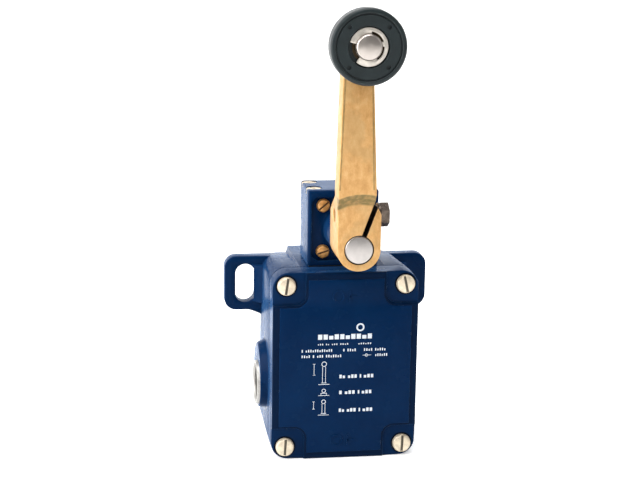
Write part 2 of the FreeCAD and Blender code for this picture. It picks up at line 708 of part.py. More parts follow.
def build_lever():
    shoulder = shaft_z + spot_r
    hub = cyl_y(hub_r, 0, shaft_z, hub_front, hub_back)
    block = plate_xz([(-hub_r, shaft_z), (hub_r, shaft_z), (hub_r, clamp_axis + 2.2),
                      (arm_foot_right + 0.6, shoulder), (-hub_r, shoulder)], hub_front, hub_back)
    eye_low = roller_z - eye_r / 2
    arm = plate_xz([(-hub_r, clamp_axis), (arm_foot_right, clamp_axis), (arm_foot_right, shoulder + 6),
                    (arm_tip_right, eye_low), (-arm_tip_left, eye_low), (-arm_foot_left, shoulder + 6)],
                   arm_front, arm_back)
    eye = cyl_y(eye_r, 0, roller_z, arm_front, arm_back)
    web = prism_x([(hub_back, clamp_axis), (hub_back, shoulder - web_drop), (arm_back, shoulder + 5),
                   (arm_front + 2, shoulder + 5), (arm_front + 2, clamp_axis)], -arm_foot_left,
                  arm_foot_right)
    slope = prism_x([(hub_back + 1, shoulder - web_drop), (hub_back, shoulder - web_drop),
                     (arm_back, shoulder + 5), (arm_back, shoulder + 9), (hub_back + 1, shoulder + 9)],
                    -hub_r - 3, hub_r + 3)
    lever = fuse_all([hub, block.cut(slope), arm, eye, web])
    spot = cyl_y(spot_r, 0, shaft_z, arm_front - 1, hub_front)
    ramp = Part.makeCone(spot_r + spot_slope, spot_r, arm_proud, FreeCAD.Vector(0, arm_front, shaft_z),
                         FreeCAD.Vector(0, 1, 0))
    bore = cyl_y(shaft_r + hub_slack, 0, shaft_z, hub_front - 1, hub_back + 1)
    saw = box(-saw_w / 2, saw_w / 2, hub_front - arm_proud - 1, hub_back + 1, shaft_z,
              shaft_z + saw_reach)
    saw.rotate(FreeCAD.Vector(0, 0, shaft_z), FreeCAD.Vector(0, 1, 0), saw_angle)
    bolt_hole = cyl_x(clamp_r + thread_room, hub_mid, clamp_axis, -hub_r - 1, hub_r + 1)
    axle_hole = cyl_y(axle_r - axle_step, 0, roller_z, arm_front - 1, arm_back + 1)
    return cut_all(lever, [spot, ramp, bore, saw, bolt_hole, axle_hole])


def build_clamp_bolt():
    seat = hub_r + clamp_washer_t
    head = hex_bar_x(clamp_flats, seat, seat + clamp_head_h, hub_mid, clamp_axis)
    shank = cyl_x(clamp_r, hub_mid, clamp_axis, -hub_r + 1.0, seat)
    return fuse_all([head, shank])


def build_clamp_washer():
    ring = cyl_x(clamp_washer_r, hub_mid, clamp_axis, hub_r, hub_r + clamp_washer_t)
    return ring.cut(cyl_x(clamp_r + hole_room, hub_mid, clamp_axis, hub_r - 1, hub_r + 3))


def build_axle():
    """Pin riveted into the lever's eye, with a groove for the clip near its free end."""
    tip = roller_front - axle_proud
    pin = cyl_y(axle_r, 0, roller_z, tip, arm_front)
    pin = chamfer_where(pin, 0.7, flat_at_y(tip))
    tail = cyl_y(axle_r - axle_step, 0, roller_z, arm_front, arm_back)
    rivet = cyl_y(axle_r - 0.4, 0, roller_z, arm_back, arm_back + 1.0)
    groove = cyl_y(axle_r + 1, 0, roller_z, clip_y, clip_y + clip_t)
    groove = groove.cut(cyl_y(axle_r - groove_depth, 0, roller_z, clip_y - 1, clip_y + clip_t + 1))
    return fuse_all([pin, tail, rivet]).cut(groove)


def build_clip():
    """Open retaining ring with three lugs in the axle's groove."""
    ring = cyl_y(axle_r + clip_ring_out, 0, roller_z, clip_y, clip_y + clip_t)
    ring = ring.cut(cyl_y(axle_r + clip_ring_in, 0, roller_z, clip_y - 1, clip_y + clip_t + 1))
    lugs = []
    for angle in (10, 115, 265):
        lug = box(axle_r - groove_depth - 0.5, axle_r + clip_ring_in + 0.5, clip_y, clip_y + clip_t,
                  roller_z - 1.6, roller_z + 1.6)
        lug.rotate(FreeCAD.Vector(0, 0, roller_z), FreeCAD.Vector(0, 1, 0), angle)
        lugs.append(lug)
    ring = fuse_all([ring] + lugs)
    ring = ring.cut(cyl_y(axle_r - groove_depth, 0, roller_z, clip_y - 1, clip_y + clip_t + 1))
    wide = axle_r * 4
    mouth = plate_xz([(0, roller_z), (-wide, roller_z - wide), (-wide, roller_z + wide / 2)],
                     clip_y - 1, clip_y + clip_t + 1)
    return ring.cut(mouth)


def build_roller():
    wheel = cyl_y(roller_r, 0, roller_z, roller_front, roller_back)
    wheel = fillet_where(wheel, roller_edge_r, lambda b: b.XLength > roller_r and b.YLength < 0.01)
    face = cyl_y(roller_r - roller_face_ring, 0, roller_z, roller_front - 1, roller_front + 0.35)
    recess = cyl_y(axle_r + recess_wide, 0, roller_z, roller_front - 1, roller_front + face_recess)
    bore = cyl_y(axle_r + roller_bush_t, 0, roller_z, roller_front - 1, roller_back + 1)
    dimples = []
    for i in range(4):
        a = math.radians(45 + 90 * i)
        dimples.append(cyl_y(dimple_r, dimple_ring_r * math.cos(a), roller_z + dimple_ring_r * math.sin(a),
                             roller_front - 1, roller_front + 1.2))
    return cut_all(wheel, [face, recess, bore] + dimples)


def build_roller_bush():
    bush = cyl_y(axle_r + roller_bush_t, 0, roller_z, clip_y + clip_t + play, roller_back)
    return bush.cut(cyl_y(axle_r + fit, 0, roller_z, roller_front - 1, roller_back + 1))


save("housing", build_housing())
save("cover", build_cover())
save("cover_gasket", build_cover_gasket())
save("cover_screws", build_cover_screws())
save("cable_entry_insert", build_insert())
save("contact_block", build_block())
save("contact_block_screws", build_block_screws())
save("fixed_contacts", build_fixed_contacts())
save("contact_tips", build_contact_tips())
save("terminal_washers", build_terminal_washers())
save("terminal_screws", build_terminal_screws())
save("earth_washer", build_earth_washer())
save("earth_screw", build_earth_screw())
save("head_block", build_head())
save("head_gasket", build_head_gasket())
save("head_screws", build_head_screws())
save("bearing_plate", build_bearing_plate())
save("bearing_plate_screws", build_plate_screws())
save("shaft_bush", build_front_bush())
save("shaft_seal", build_shaft_seal())
save("plunger_guide", build_plunger_guide())
save("upper_spring", coil_spring(fork_top + spring_seat_t, upper_spring_top))
save("lower_spring", coil_spring(block_bottom + block_wall, collar_z))
save("shaft", build_shaft())
save("crank", build_crank())
save("plunger", build_plunger())
save("contact_bridges", build_bridges())
save("lever", build_lever())
save("clamp_bolt", build_clamp_bolt())
save("clamp_washer", build_clamp_washer())
save("roller_axle", build_axle())
save("axle_clip", build_clip())
save("roller", build_roller())
save("roller_bush", build_roller_bush())
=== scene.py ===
import bpy
import json
import math
from mathutils import Matrix, Vector


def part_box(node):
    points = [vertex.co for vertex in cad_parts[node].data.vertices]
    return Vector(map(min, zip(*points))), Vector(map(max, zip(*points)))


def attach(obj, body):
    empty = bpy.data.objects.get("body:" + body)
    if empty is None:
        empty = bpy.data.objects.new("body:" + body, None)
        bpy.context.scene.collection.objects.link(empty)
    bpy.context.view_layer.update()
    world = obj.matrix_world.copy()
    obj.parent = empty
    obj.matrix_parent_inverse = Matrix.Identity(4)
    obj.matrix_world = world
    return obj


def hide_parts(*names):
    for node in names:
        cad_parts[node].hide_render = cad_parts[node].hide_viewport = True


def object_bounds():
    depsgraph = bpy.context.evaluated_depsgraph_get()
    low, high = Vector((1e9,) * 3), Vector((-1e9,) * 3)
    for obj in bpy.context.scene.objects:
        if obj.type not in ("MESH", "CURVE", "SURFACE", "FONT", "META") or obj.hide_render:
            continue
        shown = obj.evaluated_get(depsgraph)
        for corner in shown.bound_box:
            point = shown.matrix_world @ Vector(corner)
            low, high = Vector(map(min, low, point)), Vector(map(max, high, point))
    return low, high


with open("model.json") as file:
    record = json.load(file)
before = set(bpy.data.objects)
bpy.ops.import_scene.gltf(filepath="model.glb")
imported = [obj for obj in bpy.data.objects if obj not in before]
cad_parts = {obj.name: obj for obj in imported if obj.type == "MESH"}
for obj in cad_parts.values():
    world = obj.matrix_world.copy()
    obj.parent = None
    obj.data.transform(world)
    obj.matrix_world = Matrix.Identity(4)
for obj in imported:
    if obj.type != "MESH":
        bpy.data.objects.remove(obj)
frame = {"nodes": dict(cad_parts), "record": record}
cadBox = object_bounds()
cadNodes = frame["nodes"]
mm = 0.001
print("frame loaded")

# small helpers, all of them taking millimetres

def clearSelection():
    if bpy.context.object and bpy.context.object.mode != "OBJECT":
        bpy.ops.object.mode_set(mode="OBJECT")
    bpy.ops.object.select_all(action="DESELECT")


def pick(obj):
    clearSelection()
    obj.select_set(True)
    bpy.context.view_layer.objects.active = obj


def settle(obj, name):
    # put the place, turn and scale into the mesh
    pick(obj)
    bpy.ops.object.transform_apply(location=True, rotation=True, scale=True)
    obj.name = name
    obj.data.name = name
    return obj


def addBlock(name, xs, ys, zs, turn=(0, 0, 0)):
    low, high = Vector((xs[0], ys[0], zs[0])) * mm, Vector((xs[1], ys[1], zs[1])) * mm
    clearSelection()
    bpy.ops.mesh.primitive_cube_add(size=1, location=(low + high) / 2, scale=high - low,
                                    rotation=[math.radians(t) for t in turn])
    return settle(bpy.context.object, name)


axisTurns = {"X": (0, math.pi / 2, 0), "Y": (math.pi / 2, 0, 0), "Z": (0, 0, 0)}


def addRod(name, centre, radius, ends, axis="Y", sides=96, turn=0):
    # centre gives the two coordinates across the axis, in order
    place = list(centre)
    place.insert("XYZ".index(axis), (ends[0] + ends[1]) / 2)
    clearSelection()
    bpy.ops.mesh.primitive_cylinder_add(vertices=sides, radius=radius * mm,
                                        depth=(ends[1] - ends[0]) * mm,
                                        location=Vector(place) * mm, rotation=axisTurns[axis])
    rod = settle(bpy.context.object, name)
    if turn:
        bpy.context.view_layer.objects.active = rod
        bpy.ops.transform.rotate(value=math.radians(turn), orient_axis=axis, orient_type="GLOBAL",
                                 center_override=Vector(place) * mm)
        settle(rod, name)
    return rod


def addPrism(name, points, axis, ends):
    # a flat outline, given across the axis, pulled out between the two ends
    clearSelection()
    bpy.ops.mesh.primitive_circle_add(vertices=len(points), radius=1, fill_type="NGON")
    obj = settle(bpy.context.object, name)
    k = "XYZ".index(axis)
    for vertex, point in zip(obj.data.vertices, points):
        place = list(point)
        place.insert(k, ends[0])
        vertex.co = Vector(place) * mm
    pull = [0, 0, 0]
    pull[k] = (ends[1] - ends[0]) * mm
    pick(obj)
    bpy.ops.object.mode_set(mode="EDIT")
    bpy.ops.mesh.select_all(action="SELECT")
    bpy.ops.mesh.extrude_region_move(TRANSFORM_OT_translate={"value": pull})
    bpy.ops.mesh.select_all(action="SELECT")
    bpy.ops.mesh.normals_make_consistent(inside=False)
    leaveEdit()
    return obj


def editEdges(obj, test):
    # into edit mode with the edges whose two ends pass the test selected
    pick(obj)
    mesh = obj.data
    mesh.polygons.foreach_set("select", [False] * len(mesh.polygons))
    mesh.vertices.foreach_set("select", [False] * len(mesh.vertices))
    for edge in mesh.edges:
        a, b = (mesh.vertices[i].co / mm for i in edge.vertices)
        edge.select = bool(test(a, b))
    bpy.context.tool_settings.mesh_select_mode = (False, True, False)
    bpy.ops.object.mode_set(mode="EDIT")


def leaveEdit():
    bpy.ops.object.mode_set(mode="OBJECT")


def bevelEdges(obj, test, width, segments=4):
    editEdges(obj, test)
    bpy.ops.mesh.bevel(offset=width * mm, segments=segments, affect="EDGES", clamp_overlap=False)
    leaveEdit()
    return obj


def bevelLevel(obj, axis, level, width, segments=4, extra=lambda a, b: True):
    # every edge that lies flat at one level
    k = "XYZ".index(axis)

    def test(a, b):
        return abs(a[k] - level) < 0.01 and abs(b[k] - level) < 0.01 and extra(a, b)

    return bevelEdges(obj, test, width, segments)


def roundBlock(name, xs, ys, zs, radius, axis="Y", segments=10):
    block = addBlock(name, xs, ys, zs)
    across = [i for i in range(3) if i != "XYZ".index(axis)]

    def test(a, b):
        return all(abs(a[i] - b[i]) < 0.001 for i in across)

    return bevelEdges(block, test, radius, segments)


def applyBoolean(obj, other, operation):
    mod = obj.modifiers.new(operation.lower(), "BOOLEAN")
    mod.operation = operation
    mod.solver = "EXACT"
    mod.object = other
    pick(obj)
    bpy.ops.object.modifier_apply(modifier=mod.name)
    bpy.data.objects.remove(other, do_unlink=True)
    return obj


def cutWith(obj, *cutters):
    for cutter in cutters:
        applyBoolean(obj, cutter, "DIFFERENCE")
    return obj


def addTo(obj, *others):
    for other in others:
        applyBoolean(obj, other, "UNION")
    return obj


def mergeFlat(obj):
    # after booleans: no doubles, and flat faces whole again
    pick(obj)
    bpy.ops.object.mode_set(mode="EDIT")
    bpy.ops.mesh.select_all(action="SELECT")
    bpy.ops.mesh.remove_doubles(threshold=0.002 * mm)
    bpy.ops.mesh.dissolve_limited(angle_limit=math.radians(0.4))
    leaveEdit()
    return obj


def softenEdges(obj, width, segments=3, angle=35):
    mod = obj.modifiers.new("soft edges", "BEVEL")
    mod.width = width * mm
    mod.segments = segments
    mod.limit_method = "ANGLE"
    mod.angle_limit = math.radians(angle)
    mod.use_clamp_overlap = False
    pick(obj)
    bpy.ops.object.modifier_apply(modifier=mod.name)
    return obj


def joinAll(name, parts):
    clearSelection()
    for part in parts:
        part.select_set(True)
    bpy.context.view_layer.objects.active = parts[0]
    if len(parts) > 1:
        bpy.ops.object.join()
    joined = bpy.context.view_layer.objects.active
    joined.name = name
    joined.data.name = name
    return joined


def spin(name, centre, profile, axis="Y", steps=96):
    # profile: closed rings of (radius, place along the axis), spun about the axis through centre
    k = "XYZ".index(axis)
    middle = list(centre)
    middle.insert(k, 0)
    clearSelection()
    bpy.ops.mesh.primitive_circle_add(vertices=len(profile), radius=1, fill_type="NOTHING")
    obj = settle(bpy.context.object, name)
    out = 2 if k != 2 else 0
    for vertex, (radius, along) in zip(obj.data.vertices, profile):
        place = list(middle)
        place[out] += radius
        place[k] = along
        vertex.co = Vector(place) * mm
    around = [0, 0, 0]
    around[k] = 1
    pick(obj)
    bpy.ops.object.mode_set(mode="EDIT")
    bpy.ops.mesh.select_all(action="SELECT")
    bpy.ops.mesh.spin(steps=steps, angle=2 * math.pi, center=Vector(middle) * mm, axis=around)
    bpy.ops.mesh.select_all(action="SELECT")
    bpy.ops.mesh.remove_doubles(threshold=0.003 * mm)
    bpy.ops.mesh.dissolve_degenerate(threshold=0.001 * mm)
    bpy.ops.mesh.normals_make_consistent(inside=False)
    leaveEdit()
    return obj


def finishPiece(obj, material, body, replaced=(), angle=32):
    pick(obj)
    bpy.ops.object.shade_smooth_by_angle(angle=math.radians(angle))
    obj.data.materials.clear()
    obj.data.materials.append(material)
    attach(obj, body)
    if replaced:
        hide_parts(*replaced)
    return obj


def ends(node, axis):
    # how far a frame node reaches along one axis
    low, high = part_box(node)
    k = "XYZ".index(axis)
    return low[k] / mm, high[k] / mm


def middleOf(node):
    low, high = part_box(node)
    return (low + high) / 2 / mm


# materials

def newMaterial(name, color, metallic=0.0, roughness=0.5, specular=0.5):
    material = bpy.data.materials.new(name)
    material.use_nodes = True
    shader = material.node_tree.nodes["Principled BSDF"]
    shader.inputs["Base Color"].default_value = (*color, 1)
    shader.inputs["Metallic"].default_value = metallic
    shader.inputs["Roughness"].default_value = roughness
    shader.inputs["Specular IOR Level"].default_value = specular
    return material, material.node_tree, shader


def objectCoords(tree, stretch=(1, 1, 1), centre=(0, 0, 0)):
    coords = tree.nodes.new("ShaderNodeTexCoord")
    mapping = tree.nodes.new("ShaderNodeMapping")
    mapping.inputs["Scale"].default_value = stretch
    mapping.inputs["Location"].default_value = [-c * s for c, s in zip(centre, stretch)]
    tree.links.new(coords.outputs["Object"], mapping.inputs["Vector"])
    return mapping.outputs["Vector"]


def noise(tree, vector, scale, detail=3, rough=0.5):
    tex = tree.nodes.new("ShaderNodeTexNoise")
    tex.inputs["Scale"].default_value = scale
    tex.inputs["Detail"].default_value = detail
    tex.inputs["Roughness"].default_value = rough
    tree.links.new(vector, tex.inputs["Vector"])
    return tex.outputs["Fac"]


def ramp(tree, factor, stops):
    node = tree.nodes.new("ShaderNodeValToRGB")
    while len(node.color_ramp.elements) < len(stops):
        node.color_ramp.elements.new(0.5)
    for element, (place, color) in zip(node.color_ramp.elements, stops):
        element.position = place
        element.color = (*color, 1) if len(color) == 3 else color
    tree.links.new(factor, node.inputs["Fac"])
    return node.outputs["Color"]


def bump(tree, shader, height, strength, distance, below=None):
    node = tree.nodes.new("ShaderNodeBump")
    node.inputs["Strength"].default_value = strength
    node.inputs["Distance"].default_value = distance
    tree.links.new(height, node.inputs["Height"])
    if below is not None:
        tree.links.new(below, node.inputs["Normal"])
    tree.links.new(node.outputs["Normal"], shader.inputs["Normal"])
    return node.outputs["Normal"]


def ringHeight(tree, vector, scale):
    # turning marks: fine rings about the Y axis through the mapping's centre
    wave = tree.nodes.new("ShaderNodeTexWave")
    wave.wave_type = "RINGS"
    wave.rings_direction = "Y"
    wave.inputs["Scale"].default_value = scale
    wave.inputs["Distortion"].default_value = 0.6
    wave.inputs["Detail"].default_value = 2
    tree.links.new(vector, wave.inputs["Vector"])
    return wave.outputs["Fac"]


def mathNode(tree, operation, first, second=0.0, third=0.5):
    node = tree.nodes.new("ShaderNodeMath")
    node.operation = operation
    for socket, value in zip(node.inputs, (first, second, third)):
        if isinstance(value, (int, float)):
            socket.default_value = value
        else:
            tree.links.new(value, socket)
    return node.outputs[0]


def band(tree, value, low, high, soft):
    # 1 between low and high, fading over soft on each side, in metres
    up = tree.nodes.new("ShaderNodeMapRange")
    down = tree.nodes.new("ShaderNodeMapRange")
    for node, start, stop in ((up, low - soft, low), (down, high + soft, high)):
        node.inputs["From Min"].default_value = start
        node.inputs["From Max"].default_value = stop
        tree.links.new(value, node.inputs["Value"])
    return mathNode(tree, "MULTIPLY", up.outputs[0], down.outputs[0])


def vectorNode(tree, operation, first, second=(0, 0, 0)):
    node = tree.nodes.new("ShaderNodeVectorMath")
    node.operation = operation
    tree.links.new(first, node.inputs[0])
    node.inputs[1].default_value = second
    return node.outputs["Value" if operation == "LENGTH" else "Vector"]


def product(tree, *values):
    # the values multiplied together, one after another
    total = values[0]
    for value in values[1:]:
        total = mathNode(tree, "MULTIPLY", total, value)
    return total


def axesOf(tree, vector):
    node = tree.nodes.new("ShaderNodeSeparateXYZ")
    tree.links.new(vector, node.inputs[0])
    return node.outputs


def mix(tree, factor, first, second):
    node = tree.nodes.new("ShaderNodeMix")
    node.data_type = "RGBA"
    tree.links.new(factor, node.inputs["Factor"])
    for socket, value in ((node.inputs[6], first), (node.inputs[7], second)):
        if isinstance(value, (tuple, list)):
            socket.default_value = (*value, 1)
        else:
            tree.links.new(value, socket)
    return node.outputs[2]


def fromScrew(tree, vector, place, height=0):
    # how far a point is from the nearest of four screw axes, at plus and minus place
    # across and up from a centre at the given height
    vector = vectorNode(tree, "SUBTRACT", vector, (0, 0, height * mm))
    vector = vectorNode(tree, "ABSOLUTE", vector)
    vector = vectorNode(tree, "SUBTRACT", vector, (place[0] * mm, 0, place[1] * mm))
    return vectorNode(tree, "LENGTH", vectorNode(tree, "MULTIPLY", vector, (1, 0, 1)))


coverScrewPlace = screwX, screwZ = 29, 40.5
plateScrewPlace = (9.6, 11.4)

# the near-black colour and the strength after it are painted shade, round the cover screws and along the
# foot of the panel
enamelLook = {"color": (0.0003, 0.0110, 0.044), "light": (0.0006, 0.0145, 0.054), "ior": 1.11,
              "smooth": 0.20, "rough": 0.30, "bloom": 0.26, "bloomTint": (0.16, 0.45, 1.0),
              "paintedShade": (0.0002, 0.001, 0.004), "footShade": 0.55}


def makeEnamel():
    material, tree, shader = newMaterial("blueEnamel", enamelLook["color"], 0, enamelLook["rough"])
    shader.inputs["IOR"].default_value = enamelLook["ior"]
    shader.inputs["Sheen Weight"].default_value = enamelLook["bloom"]
    shader.inputs["Sheen Roughness"].default_value = 0.35
    shader.inputs["Sheen Tint"].default_value = (*enamelLook["bloomTint"], 1)
    here = objectCoords(tree)
    axes = axesOf(tree, here)
    color = ramp(tree, noise(tree, here, 55, 4),
                 [(0.3, enamelLook["color"]), (0.75, enamelLook["light"])])
    # painted shade: a near-black ring round each cover screw head and, thinner, a dark band along the
    # foot of the raised panel stand for the shadow in these gaps
    onCover = product(tree, mathNode(tree, "LESS_THAN", axes["Y"], -46.5 * mm),
                      mathNode(tree, "LESS_THAN", axes["Z"], 47.5 * mm))
    ring = band(tree, fromScrew(tree, here, coverScrewPlace), 4.0 * mm, 5.2 * mm, 0.3 * mm)
    foot = band(tree, axes["Y"], -59.45 * mm, -58.35 * mm, 0.2 * mm)
    paintedShade = mathNode(tree, "MAXIMUM", ring, product(tree, foot, enamelLook["footShade"]))
    color = mix(tree, product(tree, paintedShade, 0.9, onCover), color, enamelLook["paintedShade"])
    tree.links.new(color, shader.inputs["Base Color"])
    worn = ramp(tree, noise(tree, here, 120, 5),
                [(0.35, (enamelLook["smooth"],) * 3), (0.7, (enamelLook["rough"],) * 3)])
    tree.links.new(worn, shader.inputs["Roughness"])
    peel = noise(tree, here, 520, 3)
    swell = noise(tree, here, 150, 2)
    bump(tree, shader, peel, 0.3, 0.12 * mm, bump(tree, shader, swell, 0.25, 0.30 * mm))
    return material


# olive is the painted shade on the milled ramp and also the colour of the lines along the arm; dark is
# the painted shade in the saw cut and also the colour of the joint round the shaft
goldLook = {"pale": (0.52, 0.285, 0.095), "deep": (0.42, 0.215, 0.062),
            "bright": (0.62, 0.38, 0.16), "stain": (0.36, 0.24, 0.095),
            "olive": (0.155, 0.115, 0.035), "dark": (0.012, 0.008, 0.004),
            "lineStart": 29, "lineMiddle": -2.5, "lineOut": (7.65, 8.0), "lineTaper": 0.033}


def makeGold():
    material, tree, shader = newMaterial("leverGold", goldLook["pale"], 0.35, 0.42, 0.5)
    here = objectCoords(tree)
    axes = axesOf(tree, here)
    mottle = noise(tree, objectCoords(tree, (1, 1, 0.6)), 330, 9, 0.72)
    color = ramp(tree, mottle, [(0.33, goldLook["deep"]), (0.50, goldLook["pale"]),
                                (0.72, goldLook["bright"])])
    stain = band(tree, noise(tree, here, 60, 4, 0.6), 0.56, 1.0, 0.08)
    color = mix(tree, product(tree, stain, 0.35), color, goldLook["stain"])
    # painted shade: the milled ramp under the arm faces down into shade and is painted a darker olive
    fromShaft = vectorNode(tree, "LENGTH", objectCoords(tree, (1, 0, 1), (0, 0, shaftZ * mm)))
    across = band(tree, fromShaft, 21.8 * mm, 27.0 * mm, 0.9 * mm)
    deep = band(tree, axes["Y"], -95.8 * mm, -90.5 * mm, 0.4 * mm)
    patch = ramp(tree, noise(tree, here, 420, 4), [(0.3, (0.55,) * 3), (0.6, (1, 1, 1))])
    color = mix(tree, product(tree, across, deep, patch), color, goldLook["olive"])
    # a brown line runs just inside both long edges of the arm, which narrows towards the roller
    start = (shaftZ + goldLook["lineStart"]) * mm
    onArm = mathNode(tree, "GREATER_THAN", axes["Z"], start)
    narrowing = product(tree, mathNode(tree, "SUBTRACT", axes["Z"], start), goldLook["lineTaper"])
    shifted = mathNode(tree, "SUBTRACT", axes["X"], goldLook["lineMiddle"] * mm)
    fromMiddle = mathNode(tree, "ADD", mathNode(tree, "ABSOLUTE", shifted), narrowing)
    lineIn, lineOut = goldLook["lineOut"]
    line = band(tree, fromMiddle, lineIn * mm, lineOut * mm, 0.3 * mm)
    color = mix(tree, product(tree, line, onArm, patch, 0.75), color, goldLook["olive"])
    # painted shade: the saw cut is painted nearly black for the shade inside it; the joint round the
    # shaft is painted nearly black too
    turned = tree.nodes.new("ShaderNodeVectorRotate")
    turned.rotation_type = "Y_AXIS"
    turned.inputs["Angle"].default_value = math.radians(-sawTurn)
    tree.links.new(objectCoords(tree, (1, 1, 1), (0, 0, shaftZ * mm)), turned.inputs["Vector"])
    sawAxes = axesOf(tree, turned.outputs[0])
    inCut = band(tree, sawAxes["X"], -1.12 * mm, 1.12 * mm, 0.1 * mm)
    above = band(tree, sawAxes["Z"], 4 * mm, 27 * mm, 0.5 * mm)
    joint = band(tree, fromShaft, 6.0 * mm, 6.88 * mm, 0.1 * mm)
    sawShadeAndJoint = mathNode(tree, "MAXIMUM", product(tree, inCut, above), joint)
    color = mix(tree, sawShadeAndJoint, color, goldLook["dark"])
    tree.links.new(color, shader.inputs["Base Color"])
    roughness = ramp(tree, noise(tree, here, 260, 4), [(0.3, (0.36,) * 3), (0.7, (0.52,) * 3)])
    tree.links.new(roughness, shader.inputs["Roughness"])
    bump(tree, shader, noise(tree, here, 1500, 4), 0.4, 0.10 * mm,
         bump(tree, shader, noise(tree, here, 190, 3), 0.3, 0.30 * mm))
    return material


def makeTurned(name, color, height):
    material, tree, shader = newMaterial(name, color, 1.0, 0.3, 0.5)
    here = objectCoords(tree, (1, 1, 1), (0, 0, height * mm))
    tint = ramp(tree, noise(tree, here, 300, 4), [(0.3, [c * 0.86 for c in color]), (0.7, color)])
    tree.links.new(tint, shader.inputs["Base Color"])
    bump(tree, shader, ringHeight(tree, here, 900), 0.25, 0.04 * mm)
    return material


def makePlated(name, color, roughness=0.32, metallic=1.0, grainScale=1300, stain=0.8, slot=None):
    material, tree, shader = newMaterial(name, color, metallic, roughness, 0.5)
    here = objectCoords(tree)
    tint = ramp(tree, noise(tree, here, 420, 5), [(0.32, [c * stain for c in color]), (0.62, color)])
    if slot:
        # painted shade: the slot is painted darker just under the face of the screw head, for the shade
        # inside it
        place, height, face, radius = slot
        around = mathNode(tree, "LESS_THAN", fromScrew(tree, here, place, height), radius * mm)
        below = mathNode(tree, "GREATER_THAN", axesOf(tree, here)["Y"], (face + 0.32) * mm)
        tint = mix(tree, product(tree, around, below), tint, [c * 0.16 for c in color])
    tree.links.new(tint, shader.inputs["Base Color"])
    haze = ramp(tree, noise(tree, here, 700, 3),
                [(0.3, (roughness * 0.8,) * 3), (0.75, (min(1, roughness * 1.35),) * 3)])
    tree.links.new(haze, shader.inputs["Roughness"])
    bump(tree, shader, noise(tree, here, grainScale, 3), 0.2, 0.05 * mm)
    return material


def makePlastic(name, color, roughness=0.45, specular=0.5, grainScale=900):
    material, tree, shader = newMaterial(name, color, 0, roughness, specular)
    here = objectCoords(tree)
    tint = ramp(tree, noise(tree, here, 160, 4),
                [(0.3, [c * 0.8 for c in color]), (0.7, [c * 1.15 for c in color])])
    tree.links.new(tint, shader.inputs["Base Color"])
    sheen = ramp(tree, noise(tree, here, 240, 4),
                 [(0.3, (roughness * 0.85,) * 3), (0.7, (min(1, roughness * 1.2),) * 3)])
    tree.links.new(sheen, shader.inputs["Roughness"])
    bump(tree, shader, noise(tree, here, grainScale, 4), 0.25, 0.08 * mm)
    return material


def makeInk():
    material, tree, shader = newMaterial("whiteInk", (0.82, 0.84, 0.86), 0, 0.55, 0.3)
    here = objectCoords(tree)
    tint = ramp(tree, noise(tree, here, 2500, 3), [(0.3, (0.42, 0.46, 0.51)), (0.6, (0.66, 0.70, 0.75))])
    tree.links.new(tint, shader.inputs["Base Color"])
    bump(tree, shader, noise(tree, here, 3000, 2), 0.1, 0.03 * mm)
    return material


shaftZ = middleOf("shaft").z
rollerZ = middleOf("roller").z
sawTurn = 20
enamel = makeEnamel()
gold = makeGold()
ink = makeInk()
# the last tuple given to a screw material places the painted shade in its screw slots
zinc = makePlated("zincScrew", (0.70, 0.60, 0.45), 0.38, 0.45, 1300, 0.72,
                  (coverScrewPlace, 0, ends("cover_screws", "Y")[0], 4.05))
brass = makePlated("brassScrew", (0.60, 0.29, 0.085), 0.36, 0.4, 900, 0.6,
                   (plateScrewPlace, shaftZ, ends("bearing_plate_screws", "Y")[0], 3.0))
nickel = makePlated("nickel", (0.42, 0.41, 0.39), 0.40, 0.7)
darkSteel = makePlated("darkSteel", (0.135, 0.105, 0.085), 0.30, 0.9, 900, 0.5)
clipSteel = makePlated("clipSteel", (0.66, 0.61, 0.54), 0.36, 0.5)
shaftSteel = makeTurned("shaftSteel", (0.47, 0.44, 0.42), shaftZ)
axleSteel = makeTurned("axleSteel", (0.52, 0.47, 0.43), rollerZ)
springSteel = makePlated("springSteel", (0.55, 0.55, 0.55), 0.28)
blackPlastic = makePlastic("rollerBlack", (0.0095, 0.0155, 0.0170), 0.38, 0.28)
rubber = makePlastic("sealRubber", (0.018, 0.018, 0.018), 0.7, 0.3, 600)
blockPlastic = makePlastic("blockPlastic", (0.05, 0.05, 0.055), 0.5)
acetal = makePlastic("plungerPlastic", (0.75, 0.73, 0.66), 0.4)
bronze = makePlated("bronze", (0.050, 0.036, 0.022), 0.5)
copper = makePlated("contactCopper", (0.78, 0.44, 0.26), 0.3)
silver = makePlated("contactSilver", (0.86, 0.86, 0.86), 0.25)
slotMaterials = {
    "blue_enamel": enamel, "lever_gold": gold, "zinc_screw": zinc, "brass_screw": brass,
    "nickel": nickel, "turned_steel": shaftSteel, "dark_steel": darkSteel,
    "spring_steel": springSteel, "clip_steel": clipSteel, "roller_black": blackPlastic,
    "bronze": bronze, "seal_rubber": rubber, "block_plastic": blockPlastic,
    "contact_copper": copper, "contact_silver": silver, "plunger_plastic": acetal,
}
for part in frame["record"]["subparts"]:
    node = cadNodes[part["node"]]
    for i in range(len(node.material_slots)):
        node.material_slots[i].material = slotMaterials[part["material_slot"]]
print("materials made")

# camera, light and floor

